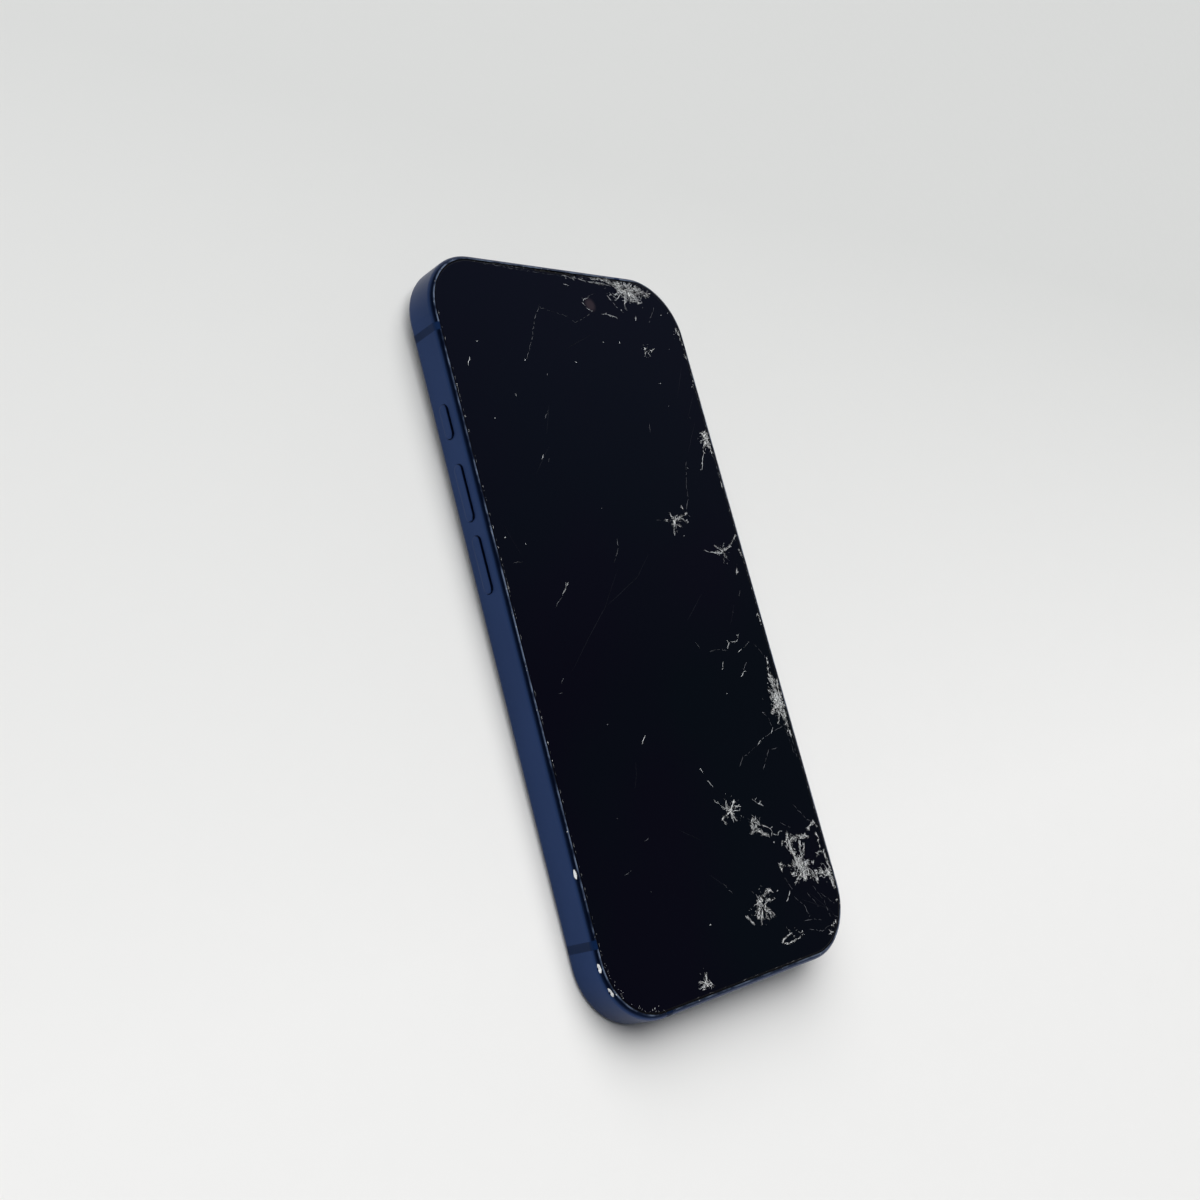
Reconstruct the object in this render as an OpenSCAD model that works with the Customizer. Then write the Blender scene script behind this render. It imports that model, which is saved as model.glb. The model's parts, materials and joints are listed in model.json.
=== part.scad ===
// Slim touch-screen phone with a shattered cover glass, lying on its back.
// X runs across the phone, Y along it towards the earpiece, Z out of the screen.
// The origin is under the middle of the phone, level with the rims of the rear lenses.

/* [Body] */
// Length of the phone, bottom edge to top edge
body_h = 159.9; // [130:0.1:195]
// Width of the phone
body_w = 76.7; // [68:0.1:94]
// Thickness from the back glass to the cover glass
body_t = 8.25; // [7.6:0.05:10]
// Radius of the corners, seen from the front
corner_r = 13.9; // [12:0.1:17]
// Rounding of the band's front and back edges
edge_r = 1.25; // [1.1:0.05:1.5]
// Width of the band's lip beside the glasses
lip = 1; // [0.8:0.05:1.05]
// Full thickness of the band's wall
wall = 2.2; // [2:0.05:2.7]
// Thickness of the chassis plate
plate_t = 0.5; // [0.4:0.05:0.7]

/* [Screen] */
// Thickness of the cover glass
glass_t = 0.75; // [0.6:0.05:0.9]
// Thickness of the display panel
panel_t = 0.9; // [0.7:0.05:1.1]
// Thickness of the steel plate behind the panel
backplate_t = 0.15; // [0.1:0.05:0.3]
// Wall of the plastic ring around the cover glass
bezel_wall = 0.22; // [0.15:0.01:0.3]
// Height of the foot that the cover glass is bonded to
foot_t = 0.25; // [0.2:0.01:0.3]
// Thickness of the sealing adhesive
seal_t = 0.1; // [0.05:0.01:0.15]
// Rounding of the cover glass's front edge
glass_round = 0.3; // [0.15:0.05:0.4]
// Distance from the top edge to the front camera's middle
front_camera_drop = 8.45; // [7.5:0.05:9]
// Distance of the front camera from the phone's middle line
front_camera_x = 7.5; // [6.5:0.1:8]

/* [Damage] */
// Depth of the fracture grooves in the cover glass
crack_depth = 0.12; // [0.05:0.01:0.3]
// Depth of the crushed spots in the cover glass
crush_depth = 0.25; // [0.1:0.01:0.4]
// Width of a fracture groove at its middle
crack_w = 0.22; // [0.1:0.01:0.4]
// Radius of the scoops knocked out of the band's front edge
nick_r = 0.9; // [0.6:0.05:1.2]

/* [Buttons] */
// Width of every button across the band
button_w = 2.4; // [2:0.05:3]
// Gap around a button in its slot
button_gap = 0.12; // [0.08:0.01:0.2]
// How far the buttons stand out of the band
button_out = 0.42; // [0.36:0.01:0.7]
// How far a button travels when it is pressed
button_travel = 0.3; // [0.2:0.01:0.3]
// Length of the volume buttons
volume_len = 12; // [9:0.1:14]
// Length of the action button
action_len = 7.3; // [6:0.1:10]
// Length of the side button
side_len = 17.5; // [12:0.1:22]
// Distance from the top edge to the action button's middle
action_drop = 36.45; // [35:0.05:42]
// Spacing of the three buttons on the left
button_pitch = 15.1; // [15:0.05:17]
// Distance from the top edge to the side button's middle
side_drop = 57; // [50:0.1:62]

/* [Back and cameras] */
// Thickness of the back glass
back_t = 0.8; // [0.6:0.05:1]
// Space for the charging coil between back glass and chassis plate
coil_space = 0.6; // [0.55:0.05:0.9]
// Height of the camera plateau above the back glass
plateau_h = 1.9; // [1.5:0.05:2.4]
// Margin of the camera plateau around the lens rims
plateau_margin = 2; // [1.5:0.1:3]
// Corner radius of the camera plateau
plateau_r = 9; // [7:0.1:11]
// Wall of the plateau
plateau_wall = 1; // [0.8:0.05:1.2]
// Distance from the phone's top edge to the plateau
plateau_edge = 5.4; // [4.5:0.1:7]
// Distance from the phone's side to the plateau
plateau_side = 2.4; // [2.2:0.1:4]
// Outer diameter of a lens rim
rim_d = 13.6; // [11.2:0.1:16.4]
// Height of a lens rim above the plateau
rim_h = 1.6; // [1.2:0.05:2]
// Gap between neighbouring lens rims
rim_gap = 1.6; // [1.2:0.1:3]
// Diameter of the flash lens
flash_d = 4.8; // [3.8:0.1:5.8]
// Width of the depth sensor beside the lenses
sensor_w = 6; // [5:0.1:7.2]
// Outer diameter of the magnet ring
magnet_d = 54.8; // [52:0.1:56]

/* [Port and grilles] */
// Inside width of the charging socket
port_w = 8.34; // [8:0.01:9]
// Inside height of the charging socket
port_h = 2.56; // [2.4:0.01:2.6]
// Sheet thickness of the socket's shell
shell_t = 0.3; // [0.2:0.01:0.3]
// Depth of the socket behind the band
port_depth = 7.2; // [6:0.1:8]
// Diameter of a grille hole
grille_d = 1.5; // [1:0.05:1.8]
// Spacing of the grille holes
grille_pitch = 2.6; // [2.2:0.05:2.8]
// Distance of the bottom screws from the middle line
screw_x = 8.2; // [7.6:0.1:8.8]

/* [Insides] */
// Width of the circuit board
board_w = 23.6; // [20:0.1:25]
// Depth of the bay at the bottom that holds motor, socket and loudspeaker
bottom_bay = 20; // [18:0.1:24]
// Depth of the bay at the top that holds earpiece and face sensor
top_bay = 13.6; // [13:0.1:16]
// Width of the antenna breaks in the band
break_w = 1.7; // [1:0.05:2.4]
// Distance from the phone's corners to the side antenna breaks
break_drop = 17.1; // [17:0.1:22]

/* [Hidden] */
$fn = 64;
eps = 0.01;
fit = 0.03;            // gap around a piece that is glued or pressed in
slack = 0.3;           // gap between neighbouring modules inside
arc_steps = 8;

half_w = body_w / 2;
half_h = body_h / 2;

// Heights, from the lens rims upwards
bump_h = plateau_h + rim_h;
z_plateau = rim_h;
z_pocket = z_plateau + plateau_wall;
z_back = bump_h;
z_back1 = z_back + back_t;
z_seat_b = z_back1 + seal_t;
z_plate0 = z_back1 + coil_space;
z_plate1 = z_plate0 + plate_t;
z_front = z_back + body_t;
z_glass = z_front - glass_t;
z_foot = z_glass - foot_t;
z_seat_f = z_foot - seal_t;
z_panel = z_glass - panel_t;
z_backplate = z_panel - backplate_t;
z_bay = z_backplate - 0.1;
z_mid = (z_plate1 + z_bay) / 2;
z_button = z_back + body_t / 2;

// Steps inwards from the outside of the band
bezel_in = lip + 0.02;
glass_in = bezel_in + bezel_wall + fit;
panel_in = wall + 0.15;
back_in = lip + fit + 0.01;
flange_t = 0.3;
flange_in = wall + 0.1;
dome_h = 0.3;
dome_in = flange_in + flange_t + button_travel + 0.02;
strip_in = dome_in + dome_h;
strip_t = 0.36;
bay_side = strip_in + strip_t + slack;

// Places, measured from the middle of the phone
action_y = half_h - action_drop;
volume_up_y = action_y - button_pitch;
volume_down_y = volume_up_y - button_pitch;
side_y = half_h - side_drop;
break_y = half_h - break_drop;
break_top_x = 20;
break_bottom_x = -23.2;

rim_r = rim_d / 2;
lens_pitch = rim_d + rim_gap;
plateau_w = 2 * plateau_margin + rim_d + sensor_w + 0.4;
plateau_len = 2 * (lens_pitch + plateau_margin) + rim_d;
plateau_x1 = half_w - plateau_side;
plateau_y1 = half_h - plateau_edge;
plateau_x = plateau_x1 - plateau_w / 2;
plateau_y = plateau_y1 - plateau_len / 2;
plateau_y0 = plateau_y1 - plateau_len;
window_x0 = plateau_x1 - plateau_w + 1.2;
lens_x = plateau_x1 - plateau_margin - rim_r;
lens_ys = [for (k = [0:2]) plateau_y1 - plateau_margin - rim_r - k * lens_pitch];
small_x = plateau_x1 - plateau_w + plateau_wall + sensor_w / 2 + 0.4;
window_r = sensor_w / 2 - 0.5;
mic_y = lens_ys[2] + 4;
neck_r = rim_r - 0.6;
cover_r = rim_r - 1.55;
shoulder_r = cover_r - 0.55;
barrel_r = shoulder_r - 0.2;
camera_side = 2 * barrel_r + 3;
z_camera = z_back1 + 0.2;
z_bracket = z_bay - 0.65;
bracket_t = 0.25;

front_camera_y = half_h - front_camera_drop;
eye_r = 2.3;           // front camera's hole in the panel
pill_len = 10;         // face sensor's window beside it
pill_w = 2 * eye_r;
earpiece_half = 6.5;
mic_r = 0.5;
coil_y = plateau_y0 - 1 - magnet_d / 2;
bottom_y = -half_h + wall;
bay_y0 = bottom_y + bottom_bay;
bay_y1 = half_h - wall - top_bay;
board_x1 = half_w - bay_side - 0.2;
board_x0 = board_x1 - board_w;
board_y0 = bay_y0 + 1.3;
board_y1 = plateau_y0 - 0.6;
battery_x0 = -half_w + bay_side;
boss_r = 1.3;
boss_x = window_x0 - boss_r - 0.05;
battery_x1 = min(board_x0 - 0.6, boss_x - boss_r - slack);
connector_len = 13;
board_t = 0.8;
connector_h = 0.5;
flex_t = 0.2;
z_socket = z_plate1 + board_t + connector_h;
battery_flex_y = board_y0 + 6.5;
screw_head_r = 1.1;
screw_r = 0.48;
ear_t = 0.4;

// Colours
blue_metal = [0.13, 0.19, 0.33];
break_blue = [0.07, 0.12, 0.2];
black_glass = [0.02, 0.02, 0.03, 0.5];
black = [0.03, 0.03, 0.035];
graphite = [0.2, 0.2, 0.22];
steel = [0.62, 0.63, 0.65];
copper = [0.72, 0.42, 0.24];
board_green = [0.05, 0.16, 0.12];
amber = [0.55, 0.32, 0.1];

// Places where the cover glass was crushed: middle, reach, points of the star, seed
crushes = [
    [[22.5, 76.5], 5.5, 13, 31],
    [[36, 39.5], 2.8, 9, 12],
    [[35, -23.5], 4.6, 15, 13],
    [[9, -45], 3.2, 11, 14],
    [[16.5, -49.3], 2.4, 7, 15],
    [[26, -55], 3.4, 11, 16],
    [[27.5, -60.5], 3.8, 13, 17],
    [[35, -63.5], 2.6, 9, 18],
    [[11, -66], 3.4, 11, 19],
    [[17.6, 20.2], 2.3, 7, 20],
    [[-11.5, -76], 2.2, 9, 21]
];
// Fractures that run on from them, each a chain of corners
cracks = [
    [[-16, 57], [-13.5, 61], [-11, 65.5], [-8.5, 69], [-5.5, 69.2], [0, 67.5], [2.5, 67]],
    [[2.5, 66.5], [5.5, 68.8], [9, 70], [12, 69.6], [16.5, 69]],
    [[18.5, 75], [16, 74], [17, 72], [18.5, 71]],
    [[2, 78.3], [9, 77.7], [16, 77.2]],
    [[22, 22.5], [23.3, 26], [24.5, 31], [26.5, 34]],
    [[10.5, 20.5], [14, 20.1], [16.5, 20.4]],
    [[37.4, 16.2], [33.5, 13.6], [30.3, 12.2], [28, 13.8]],
    [[23.5, 13.4], [27, 12.2], [29, 11.6]],
    [[33, 36], [32, 35], [30.5, 32]],
    [[14.5, -9.8], [17, -10.6], [22, -9.8], [27.5, -7.5]],
    [[19, -14], [21.5, -11.5], [24, -9]],
    [[25, -17], [26.2, -15.6], [27.5, -14]],
    [[31, -28.5], [27, -31], [22.5, -33.4], [17.5, -34.5], [15.5, -36]],
    [[30, -34], [26.5, -33.5], [23, -35.2]],
    [[20, -50.6], [21.5, -52], [23.5, -52]],
    [[3.5, -35], [5, -38.2], [6, -42.4]],
    [[15, -74.6], [18, -72.8], [19, -73.6], [22, -74.2]],
    [[0.5, -59], [2, -60.4], [3, -61.6]],
    [[29, -52.5], [33.5, -51.6], [36.5, -55], [36.5, -60]],
    [[-23.2, 4.5], [-21.8, 6.2], [-20.5, 7.4]],
    [[-12, -27.6], [-11, -26.6], [-10.2, -25.4]]
];
// Scoops in the band's front edge: distance down from the middle, and angle around the corner
nick_y = -49.4;
nick_angles = [185, 206];

// ---------- shared shapes ----------

// Points of a quarter arc from angle a0 to a1 about a centre
function arc(cx, cz, r, a0, a1) =
    [for (k = [0:arc_steps]) let (a = a0 + (a1 - a0) * k / arc_steps) [cx + r * cos(a), cz + r * sin(a)]];

// The angle at which the band's rounding reaches the lip
lip_angle = acos((edge_r - lip) / edge_r);

// Section of the band: inwards from its outside, and height
band_section = concat(
    arc(edge_r, z_back + edge_r, edge_r, 180 + lip_angle, 180),
    arc(edge_r, z_front - edge_r, edge_r, 180, 180 - lip_angle),
    [[lip, z_seat_f], [wall, z_seat_f], [wall, z_seat_b], [lip, z_seat_b]]
);

// A section swept round a rectangle of width w and length h with corners of radius r
module sweep(w, h, r, section) {
    for (s = [0, 1]) {
        mirror([s, 0, 0]) translate([-w / 2, 0, 0]) rotate([90, 0, 0])
            linear_extrude(height = h - 2 * r, center = true) polygon(section);
        mirror([0, s, 0]) rotate([0, 0, 90]) translate([-h / 2, 0, 0]) rotate([90, 0, 0])
            linear_extrude(height = w - 2 * r, center = true) polygon(section);
        for (t = [0, 1]) mirror([s, 0, 0]) mirror([0, t, 0])
            translate([w / 2 - r, h / 2 - r, 0])
                rotate_extrude(angle = 90) polygon([for (p = section) [r - p[0], p[1]]]);
    }
}

module rounded_rect(w, h, r) {
    square([w - 2 * r, h], center = true);
    square([w, h - 2 * r], center = true);
    for (x = [-1, 1], y = [-1, 1]) translate([x * (w / 2 - r), y * (h / 2 - r)]) circle(r);
}

// The phone's outline, a step inwards
module outline(inset) {
    rounded_rect(body_w - 2 * inset, body_h - 2 * inset, corner_r - inset);
}

module slab(inset, z0, z1) {
    translate([0, 0, z0]) linear_extrude(z1 - z0) outline(inset);
}

// A flat ring between two steps inwards
module ring(outer, inner, z0, z1) {
    difference() {
        slab(outer, z0, z1);
        slab(inner, z0 - 1, z1 + 1);
    }
}

// A flat block given by its corners, with rounded corners where r is set
module block(x0, x1, y0, y1, z0, z1, r = 0) {
    if (r == 0) translate([x0, y0, z0]) cube([x1 - x0, y1 - y0, z1 - z0]);
    else translate([(x0 + x1) / 2, (y0 + y1) / 2, z0])
        linear_extrude(z1 - z0) rounded_rect(x1 - x0, y1 - y0, r);
}

module disc(x, y, r, z0, z1) {
    translate([x, y, z0]) cylinder(r = r, h = z1 - z0);
}

module stadium(len, w) {
    square([w, len - w], center = true);
    for (s = [-1, 1]) translate([0, s * (len - w) / 2]) circle(w / 2);
}

// A stadium standing on the side of the phone, running inwards from u0 to u1
module side_stadium(len, w, u0, u1) {
    translate([u0, 0, z_button]) rotate([0, 90, 0]) linear_extrude(u1 - u0) stadium(len, w);
}

// Puts children on the left (-1) or right (1) side, at a place along the phone
module on_side(side, y) {
    mirror([side > 0 ? 1 : 0, 0, 0]) translate([-half_w, y, 0]) children();
}

// A hole or pin that runs along Y
module along_y(x, z, r, y0, y1) {
    translate([x, y1, z]) rotate([90, 0, 0]) cylinder(r = r, h = y1 - y0);
}

// ---------- band and chassis ----------

module break_strip(side, place) {
    if (side == "left" || side == "right")
        on_side(side == "left" ? -1 : 1, place)
            rotate([90, 0, 0]) linear_extrude(height = break_w, center = true) polygon(band_section);
    else
        mirror([0, side == "top" ? 1 : 0, 0]) translate([place, 0, 0]) rotate([0, 0, 90])
            translate([-half_h, 0, 0]) rotate([90, 0, 0])
                linear_extrude(height = break_w, center = true) polygon(band_section);
}

// The gap in the band that a break strip fills
module break_gap(side, place) {
    if (side == "left" || side == "right")
        on_side(side == "left" ? -1 : 1, place)
            translate([-1, -break_w / 2, z_back - 1]) cube([wall + 1, break_w, body_t + 2]);
    else
        mirror([0, side == "top" ? 1 : 0, 0])
            translate([place - break_w / 2, -half_h - 1, z_back - 1]) cube([break_w, wall + 1, body_t + 2]);
}

breaks = [
    ["left", break_y], ["left", -break_y], ["right", break_y], ["right", -break_y],
    ["top", break_top_x], ["bottom", break_bottom_x]
];
buttons = [
    [-1, action_y, action_len], [-1, volume_up_y, volume_len],
    [-1, volume_down_y, volume_len], [1, side_y, side_len]
];

// Grille holes: four on the left, five on the right
grille_x0 = 12.2;
grille_xs = concat(
    [for (k = [0:3]) -grille_x0 - k * grille_pitch],
    [for (k = [0:4]) grille_x0 + k * grille_pitch]
);

// Bosses for the inner screws: place, and height of the ear that they carry
boss_in = boss_r + 0.15;
module_x = 12.5;
module_side = wall + 0.5 + boss_r + boss_in + 2;
motor_x0 = -half_w + module_side;
motor_x1 = -module_x;
speaker_x0 = module_x;
speaker_x1 = half_w - module_side;
module_y1 = bay_y0 - 1.5;
ear_y = module_y1 - 2.2;
z_module = z_bay - 0.45;
z_ear = z_plate1 + 2;
z_cover = z_socket + flex_t + 0.2;
cover_y = board_y0 + 2.6;
bosses = [
    [boss_x, lens_ys[0] - 3, z_bracket],
    [boss_x, lens_ys[2] + 3, z_bracket],
    [motor_x0 - boss_in, ear_y, z_ear],
    [motor_x1 + boss_in, ear_y, z_ear],
    [speaker_x0 - boss_in, ear_y, z_ear],
    [speaker_x1 + boss_in, ear_y, z_ear],
    [board_x0 + 1.7, cover_y, z_cover],
    [board_x1 - 1.7, cover_y, z_cover]
];

module nicks() {
    translate([-half_w - 0.25, nick_y, z_front - 0.1]) rotate([90, 0, 0])
        cylinder(r = nick_r * 0.6, h = 2.2, center = true);
    for (a = nick_angles)
        translate([-half_w + corner_r, -half_h + corner_r, z_front - 0.15]) rotate([0, 0, a])
            translate([corner_r + 0.2, 0, 0]) sphere(nick_r * 0.8);
}

module frame() color(blue_metal) difference() {
    union() {
        sweep(body_w, body_h, corner_r, band_section);
        slab(wall - 0.5, z_plate0, z_plate1);
        for (b = bosses) disc(b[0], b[1], boss_r, z_plate0 + eps, b[2]);
    }
    for (b = breaks) break_gap(b[0], b[1]);
    for (b = buttons)
        on_side(b[0], b[1]) side_stadium(b[2] + 2 * button_gap, button_w + 2 * button_gap, -1, wall + 1);
    // window behind the rear cameras
    block(window_x0, plateau_x1 - 1.6, plateau_y0 + 1.2, plateau_y1 - 1.2, z_plate0 - 1, z_plate1 + eps, 3);
    // charging socket, grille and screw holes in the bottom edge
    translate([0, -half_h + wall + 1, z_mid]) rotate([90, 0, 0])
        linear_extrude(wall + 2) rotate([0, 0, 90]) stadium(port_w + 0.16, port_h + 0.16);
    for (x = grille_xs) along_y(x, z_mid, grille_d / 2, -half_h - 1, -half_h + wall + 1);
    for (s = [-1, 1]) {
        along_y(s * screw_x, z_mid, 0.55, -half_h - 1, -half_h + wall + 1);
        along_y(s * screw_x, z_mid, 0.85, -half_h - 1, -half_h + 0.6);
    }
    for (b = bosses) disc(b[0], b[1], screw_r + 0.04, z_plate1 + 0.4, b[2] + 1);
    nicks();
}

module antenna_break(k) color(break_blue) break_strip(breaks[k][0], breaks[k][1]);

// ---------- screen ----------

glass_section = concat(
    [[glass_in, z_glass]],
    arc(glass_in + glass_round, z_front - glass_round, glass_round, 180, 90),
    [[glass_in + 2, z_front], [glass_in + 2, z_glass]]
);

// Direction of a chain of points at one of its corners
function heading(p, k) = let (
    a = p[max(k - 1, 0)], b = p[min(k + 1, len(p) - 1)], d = b - a
) d / norm(d);

// A fracture groove seen from the front, pointed at both ends
module groove(p) {
    last = len(p) - 1;
    edge = [for (s = [1, -1]) [for (k = [1:last - 1]) let (h = heading(p, k))
        p[k] + s * crack_w / 2 * [-h[1], h[0]]]];
    polygon(concat([p[0]], edge[0], [p[last]], [for (k = [last - 2:-1:0]) edge[1][k]]));
}

// A crushed spot seen from the front: a star of uneven points
module crush(c, reach, n, seed) {
    r = rands(0.45, 1, n, seed);
    waist = rands(0.22, 0.4, n, seed + 50);
    polygon([for (k = [0:2 * n - 1]) let (
        a = 180 * k / n,
        d = reach * (k % 2 == 0 ? r[k / 2] : waist[(k - 1) / 2])
    ) c + d * [cos(a), sin(a)]]);
}

module earpiece_slot(gap, z0, z1) {
    block(-earpiece_half - gap, earpiece_half + gap,
        half_h - glass_in - 0.45 - gap, half_h - bezel_in - 0.05 + gap, z0, z1);
}

module cover_glass() color(black_glass) difference() {
    union() {
        sweep(body_w, body_h, corner_r, glass_section);
        slab(glass_in + 1, z_glass, z_front);
    }
    for (c = crushes)
        translate([0, 0, z_front - crush_depth]) linear_extrude(1) crush(c[0], c[1], c[2], c[3]);
    for (c = cracks)
        translate([0, 0, z_front - crack_depth]) linear_extrude(1) groove(c);
    earpiece_slot(fit, z_glass - 1, z_front + 1);
}

module sensor_holes(gap, z0, z1) {
    disc(front_camera_x, front_camera_y, eye_r + gap, z0, z1);
    translate([-front_camera_x / 2, front_camera_y, z0]) linear_extrude(z1 - z0)
        rotate([0, 0, 90]) stadium(pill_len + 2 * gap, pill_w + 2 * gap);
}

module display_panel() color(black) difference() {
    slab(panel_in, z_panel, z_glass);
    sensor_holes(0.2, z_panel - 1, z_glass + 1);
}

module display_backplate() color(steel) difference() {
    union() {
        slab(panel_in + 0.4, z_backplate, z_panel);
        // tabs that the bottom screws bite into
        for (s = [-1, 1]) block(s * screw_x - 1.6, s * screw_x + 1.6,
            bottom_y + 0.85, bottom_y + 1.75, z_mid - 1.3, z_backplate + eps);
    }
    sensor_holes(0.2, z_backplate - 1, z_panel + 1);
    for (s = [-1, 1]) along_y(s * screw_x, z_mid, 0.53, bottom_y, bottom_y + 3);
}

module display_bezel() color(black) difference() {
    union() {
        ring(bezel_in, bezel_in + bezel_wall, z_foot, z_front - 0.12);
        ring(bezel_in, wall - 0.05, z_foot, z_glass);
    }
    earpiece_slot(fit, z_glass, z_front + 1);
}

module display_seal() color(black) ring(lip + 0.25, wall - 0.1, z_seat_f, z_foot);

// Ribbon from the panel's back down to the board
module display_flex() color(amber) {
    x = board_x1 - 13;
    y = board_y0 - 1;
    block(x, x + 9, y, y + 5, z_socket, z_socket + flex_t);
    block(x, x + 9, y, y + flex_t, z_socket, z_backplate);
    block(x, x + 9, y, y + 7, z_backplate - flex_t, z_backplate);
}

module earpiece_mesh() color(graphite) earpiece_slot(-0.05, z_glass, z_glass + 0.35);

module earpiece_speaker() color(graphite)
    block(-12, 5, bay_y1 + slack, half_h - wall - slack, z_plate1, z_plate1 + 2.1, 1.5);

module front_camera() color(black) {
    block(front_camera_x - 4, front_camera_x + 4, front_camera_y - 4, front_camera_y + 4,
        z_plate1 + 2.3, z_backplate, 0.8);
    disc(front_camera_x, front_camera_y, eye_r, z_backplate - eps, z_glass - 0.05);
}

module face_sensor() color(black) {
    x = front_camera_x - 4 - 0.5;
    block(x - 14, x, front_camera_y - 3.7, front_camera_y + 3.7, z_plate1 + 2.3, z_backplate, 0.8);
    translate([-front_camera_x / 2, front_camera_y, z_backplate - eps]) linear_extrude(backplate_t + 0.7)
        rotate([0, 0, 90]) stadium(pill_len, pill_w);
}

// ---------- buttons ----------

// A button: domed cap outside, stem in the slot, and a flange that keeps it in
module button(side, y, len) on_side(side, y) {
    round_over = 0.22;
    side_stadium(len, button_w, -button_out + round_over, flange_in + eps);
    // layers of the dome: how much smaller than the stem, and how far below the dome's top
    hull() for (layer = [[0, round_over], [round_over, 0.06], [4 * round_over, 0]]) {
        top = -button_out + layer[1];
        side_stadium(len - layer[0], button_w - layer[0], top, top + eps, $fn = 32);
    }
    side_stadium(len + 1.2, button_w + 0.8, flange_in, flange_in + flange_t);
}

module action_button() color(blue_metal) button(-1, action_y, action_len);
module volume_up_button() color(blue_metal) button(-1, volume_up_y, volume_len);
module volume_down_button() color(blue_metal) button(-1, volume_down_y, volume_len);
module side_button() color(blue_metal) button(1, side_y, side_len);

module switch_strip(side, y0, y1) color(amber)
    on_side(side, 0) translate([strip_in, y0, z_plate1]) cube([strip_t, y1 - y0, z_button - z_plate1 + 1.5]);
module left_switch_strip()
    switch_strip(-1, volume_down_y - volume_len / 2 - 1, action_y + action_len / 2 + 1);
module right_switch_strip()
    switch_strip(1, side_y - side_len / 2 - 1, side_y + side_len / 2 + 1);

module dome_switches() color(steel) for (b = buttons) on_side(b[0], b[1])
    translate([dome_in, 0, z_button]) rotate([0, 90, 0]) cylinder(r1 = 0.7, r2 = 1.2, h = dome_h);

// ---------- back and rear cameras ----------

back_section = concat(
    [[back_in, z_back1]],
    arc(back_in + 0.2, z_back + 0.2, 0.2, 180, 270),
    [[back_in + 2, z_back], [back_in + 2, z_back1]]
);
plateau_section = concat(
    [[0, z_back + 0.4]],
    arc(0.7, z_plateau + 0.7, 0.7, 180, 270),
    [[2, z_plateau], [2, z_back + 0.4]]
);

module at_plateau() translate([plateau_x, plateau_y, 0]) children();

module back_glass() color(blue_metal) difference() {
    union() {
        sweep(body_w, body_h, corner_r, back_section);
        slab(back_in + 1, z_back, z_back1);
        at_plateau() sweep(plateau_w, plateau_len, plateau_r, plateau_section);
        at_plateau() translate([0, 0, z_plateau]) linear_extrude(z_back - z_plateau + 0.4)
            rounded_rect(plateau_w - 2, plateau_len - 2, plateau_r - 1);
    }
    // hollow behind the plateau
    at_plateau() translate([0, 0, z_pocket])
        linear_extrude(10) rounded_rect(plateau_w - 2.4, plateau_len - 2.4, plateau_r - 1.2);
    for (y = lens_ys) disc(lens_x, y, neck_r + fit, z_plateau - 1, z_back1);
    disc(small_x, lens_ys[0], flash_d / 2 + fit, z_plateau - 1, z_back1);
    disc(small_x, lens_ys[1], window_r + fit, z_plateau - 1, z_back1);
    disc(small_x, mic_y, mic_r, z_plateau - 1, z_back1);
}

module back_seal() color(black) ring(back_in + 0.1, wall - 0.1, z_back1, z_seat_b);

module lens_rim(k) color(blue_metal) translate([lens_x, lens_ys[k], 0]) rotate_extrude() polygon(concat(
    [[cover_r + fit, 0.9], [cover_r + fit, 0]],
    arc(rim_r - 0.5, 0.5, 0.5, -90, 0),
    [[rim_r, z_plateau], [neck_r, z_plateau], [neck_r, z_pocket + 0.3],
        [shoulder_r, z_pocket + 0.3], [shoulder_r, 0.9]]
));

module lens_cover(k) color(black_glass) disc(lens_x, lens_ys[k], cover_r, 0.2, 0.9);

module rear_camera(k) color(graphite) {
    disc(lens_x, lens_ys[k], barrel_r, 1.1, z_camera + eps);
    block(lens_x - camera_side / 2, lens_x + camera_side / 2,
        lens_ys[k] - camera_side / 2, lens_ys[k] + camera_side / 2, z_camera, z_bracket, 0.8);
}

// Sheet that presses the three cameras down, with ears over two bosses
module camera_bracket() color(steel) difference() {
    union() {
        block(lens_x - camera_side / 2, lens_x + camera_side / 2,
            lens_ys[2] - camera_side / 2, lens_ys[0] + camera_side / 2, z_bracket, z_bracket + bracket_t, 1);
        for (k = [0, 1]) block(bosses[k][0] - 1.4, lens_x, bosses[k][1] - 2, bosses[k][1] + 2,
            z_bracket, z_bracket + bracket_t);
    }
    for (k = [0, 1]) disc(bosses[k][0], bosses[k][1], screw_r + 0.07, z_bracket - 1, z_bracket + 1);
    for (y = lens_ys) disc(lens_x, y, 3, z_bracket - 1, z_bracket + 1);
}

// A square module behind a small window of the plateau
module at_small(y, w, h)
    block(small_x - w / 2, small_x + w / 2, y - w / 2, y + w / 2, z_pocket, z_pocket + h, 0.5);

module flash_lens() color("lemonchiffon") disc(small_x, lens_ys[0], flash_d / 2, z_plateau, z_pocket);
module flash_led() color("gold") at_small(lens_ys[0], flash_d + 0.6, 0.9);
module depth_window() color(black_glass) disc(small_x, lens_ys[1], window_r, z_plateau, z_pocket);
module depth_sensor() color(graphite) at_small(lens_ys[1], sensor_w, 2);
module rear_mic_mesh() color(graphite) disc(small_x, mic_y, mic_r + 0.4, z_pocket, z_pocket + 0.15);

// ---------- charging coil and magnets ----------

coil_turns = 11;
coil_r0 = 10.5;
turn_w = 1;

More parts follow.
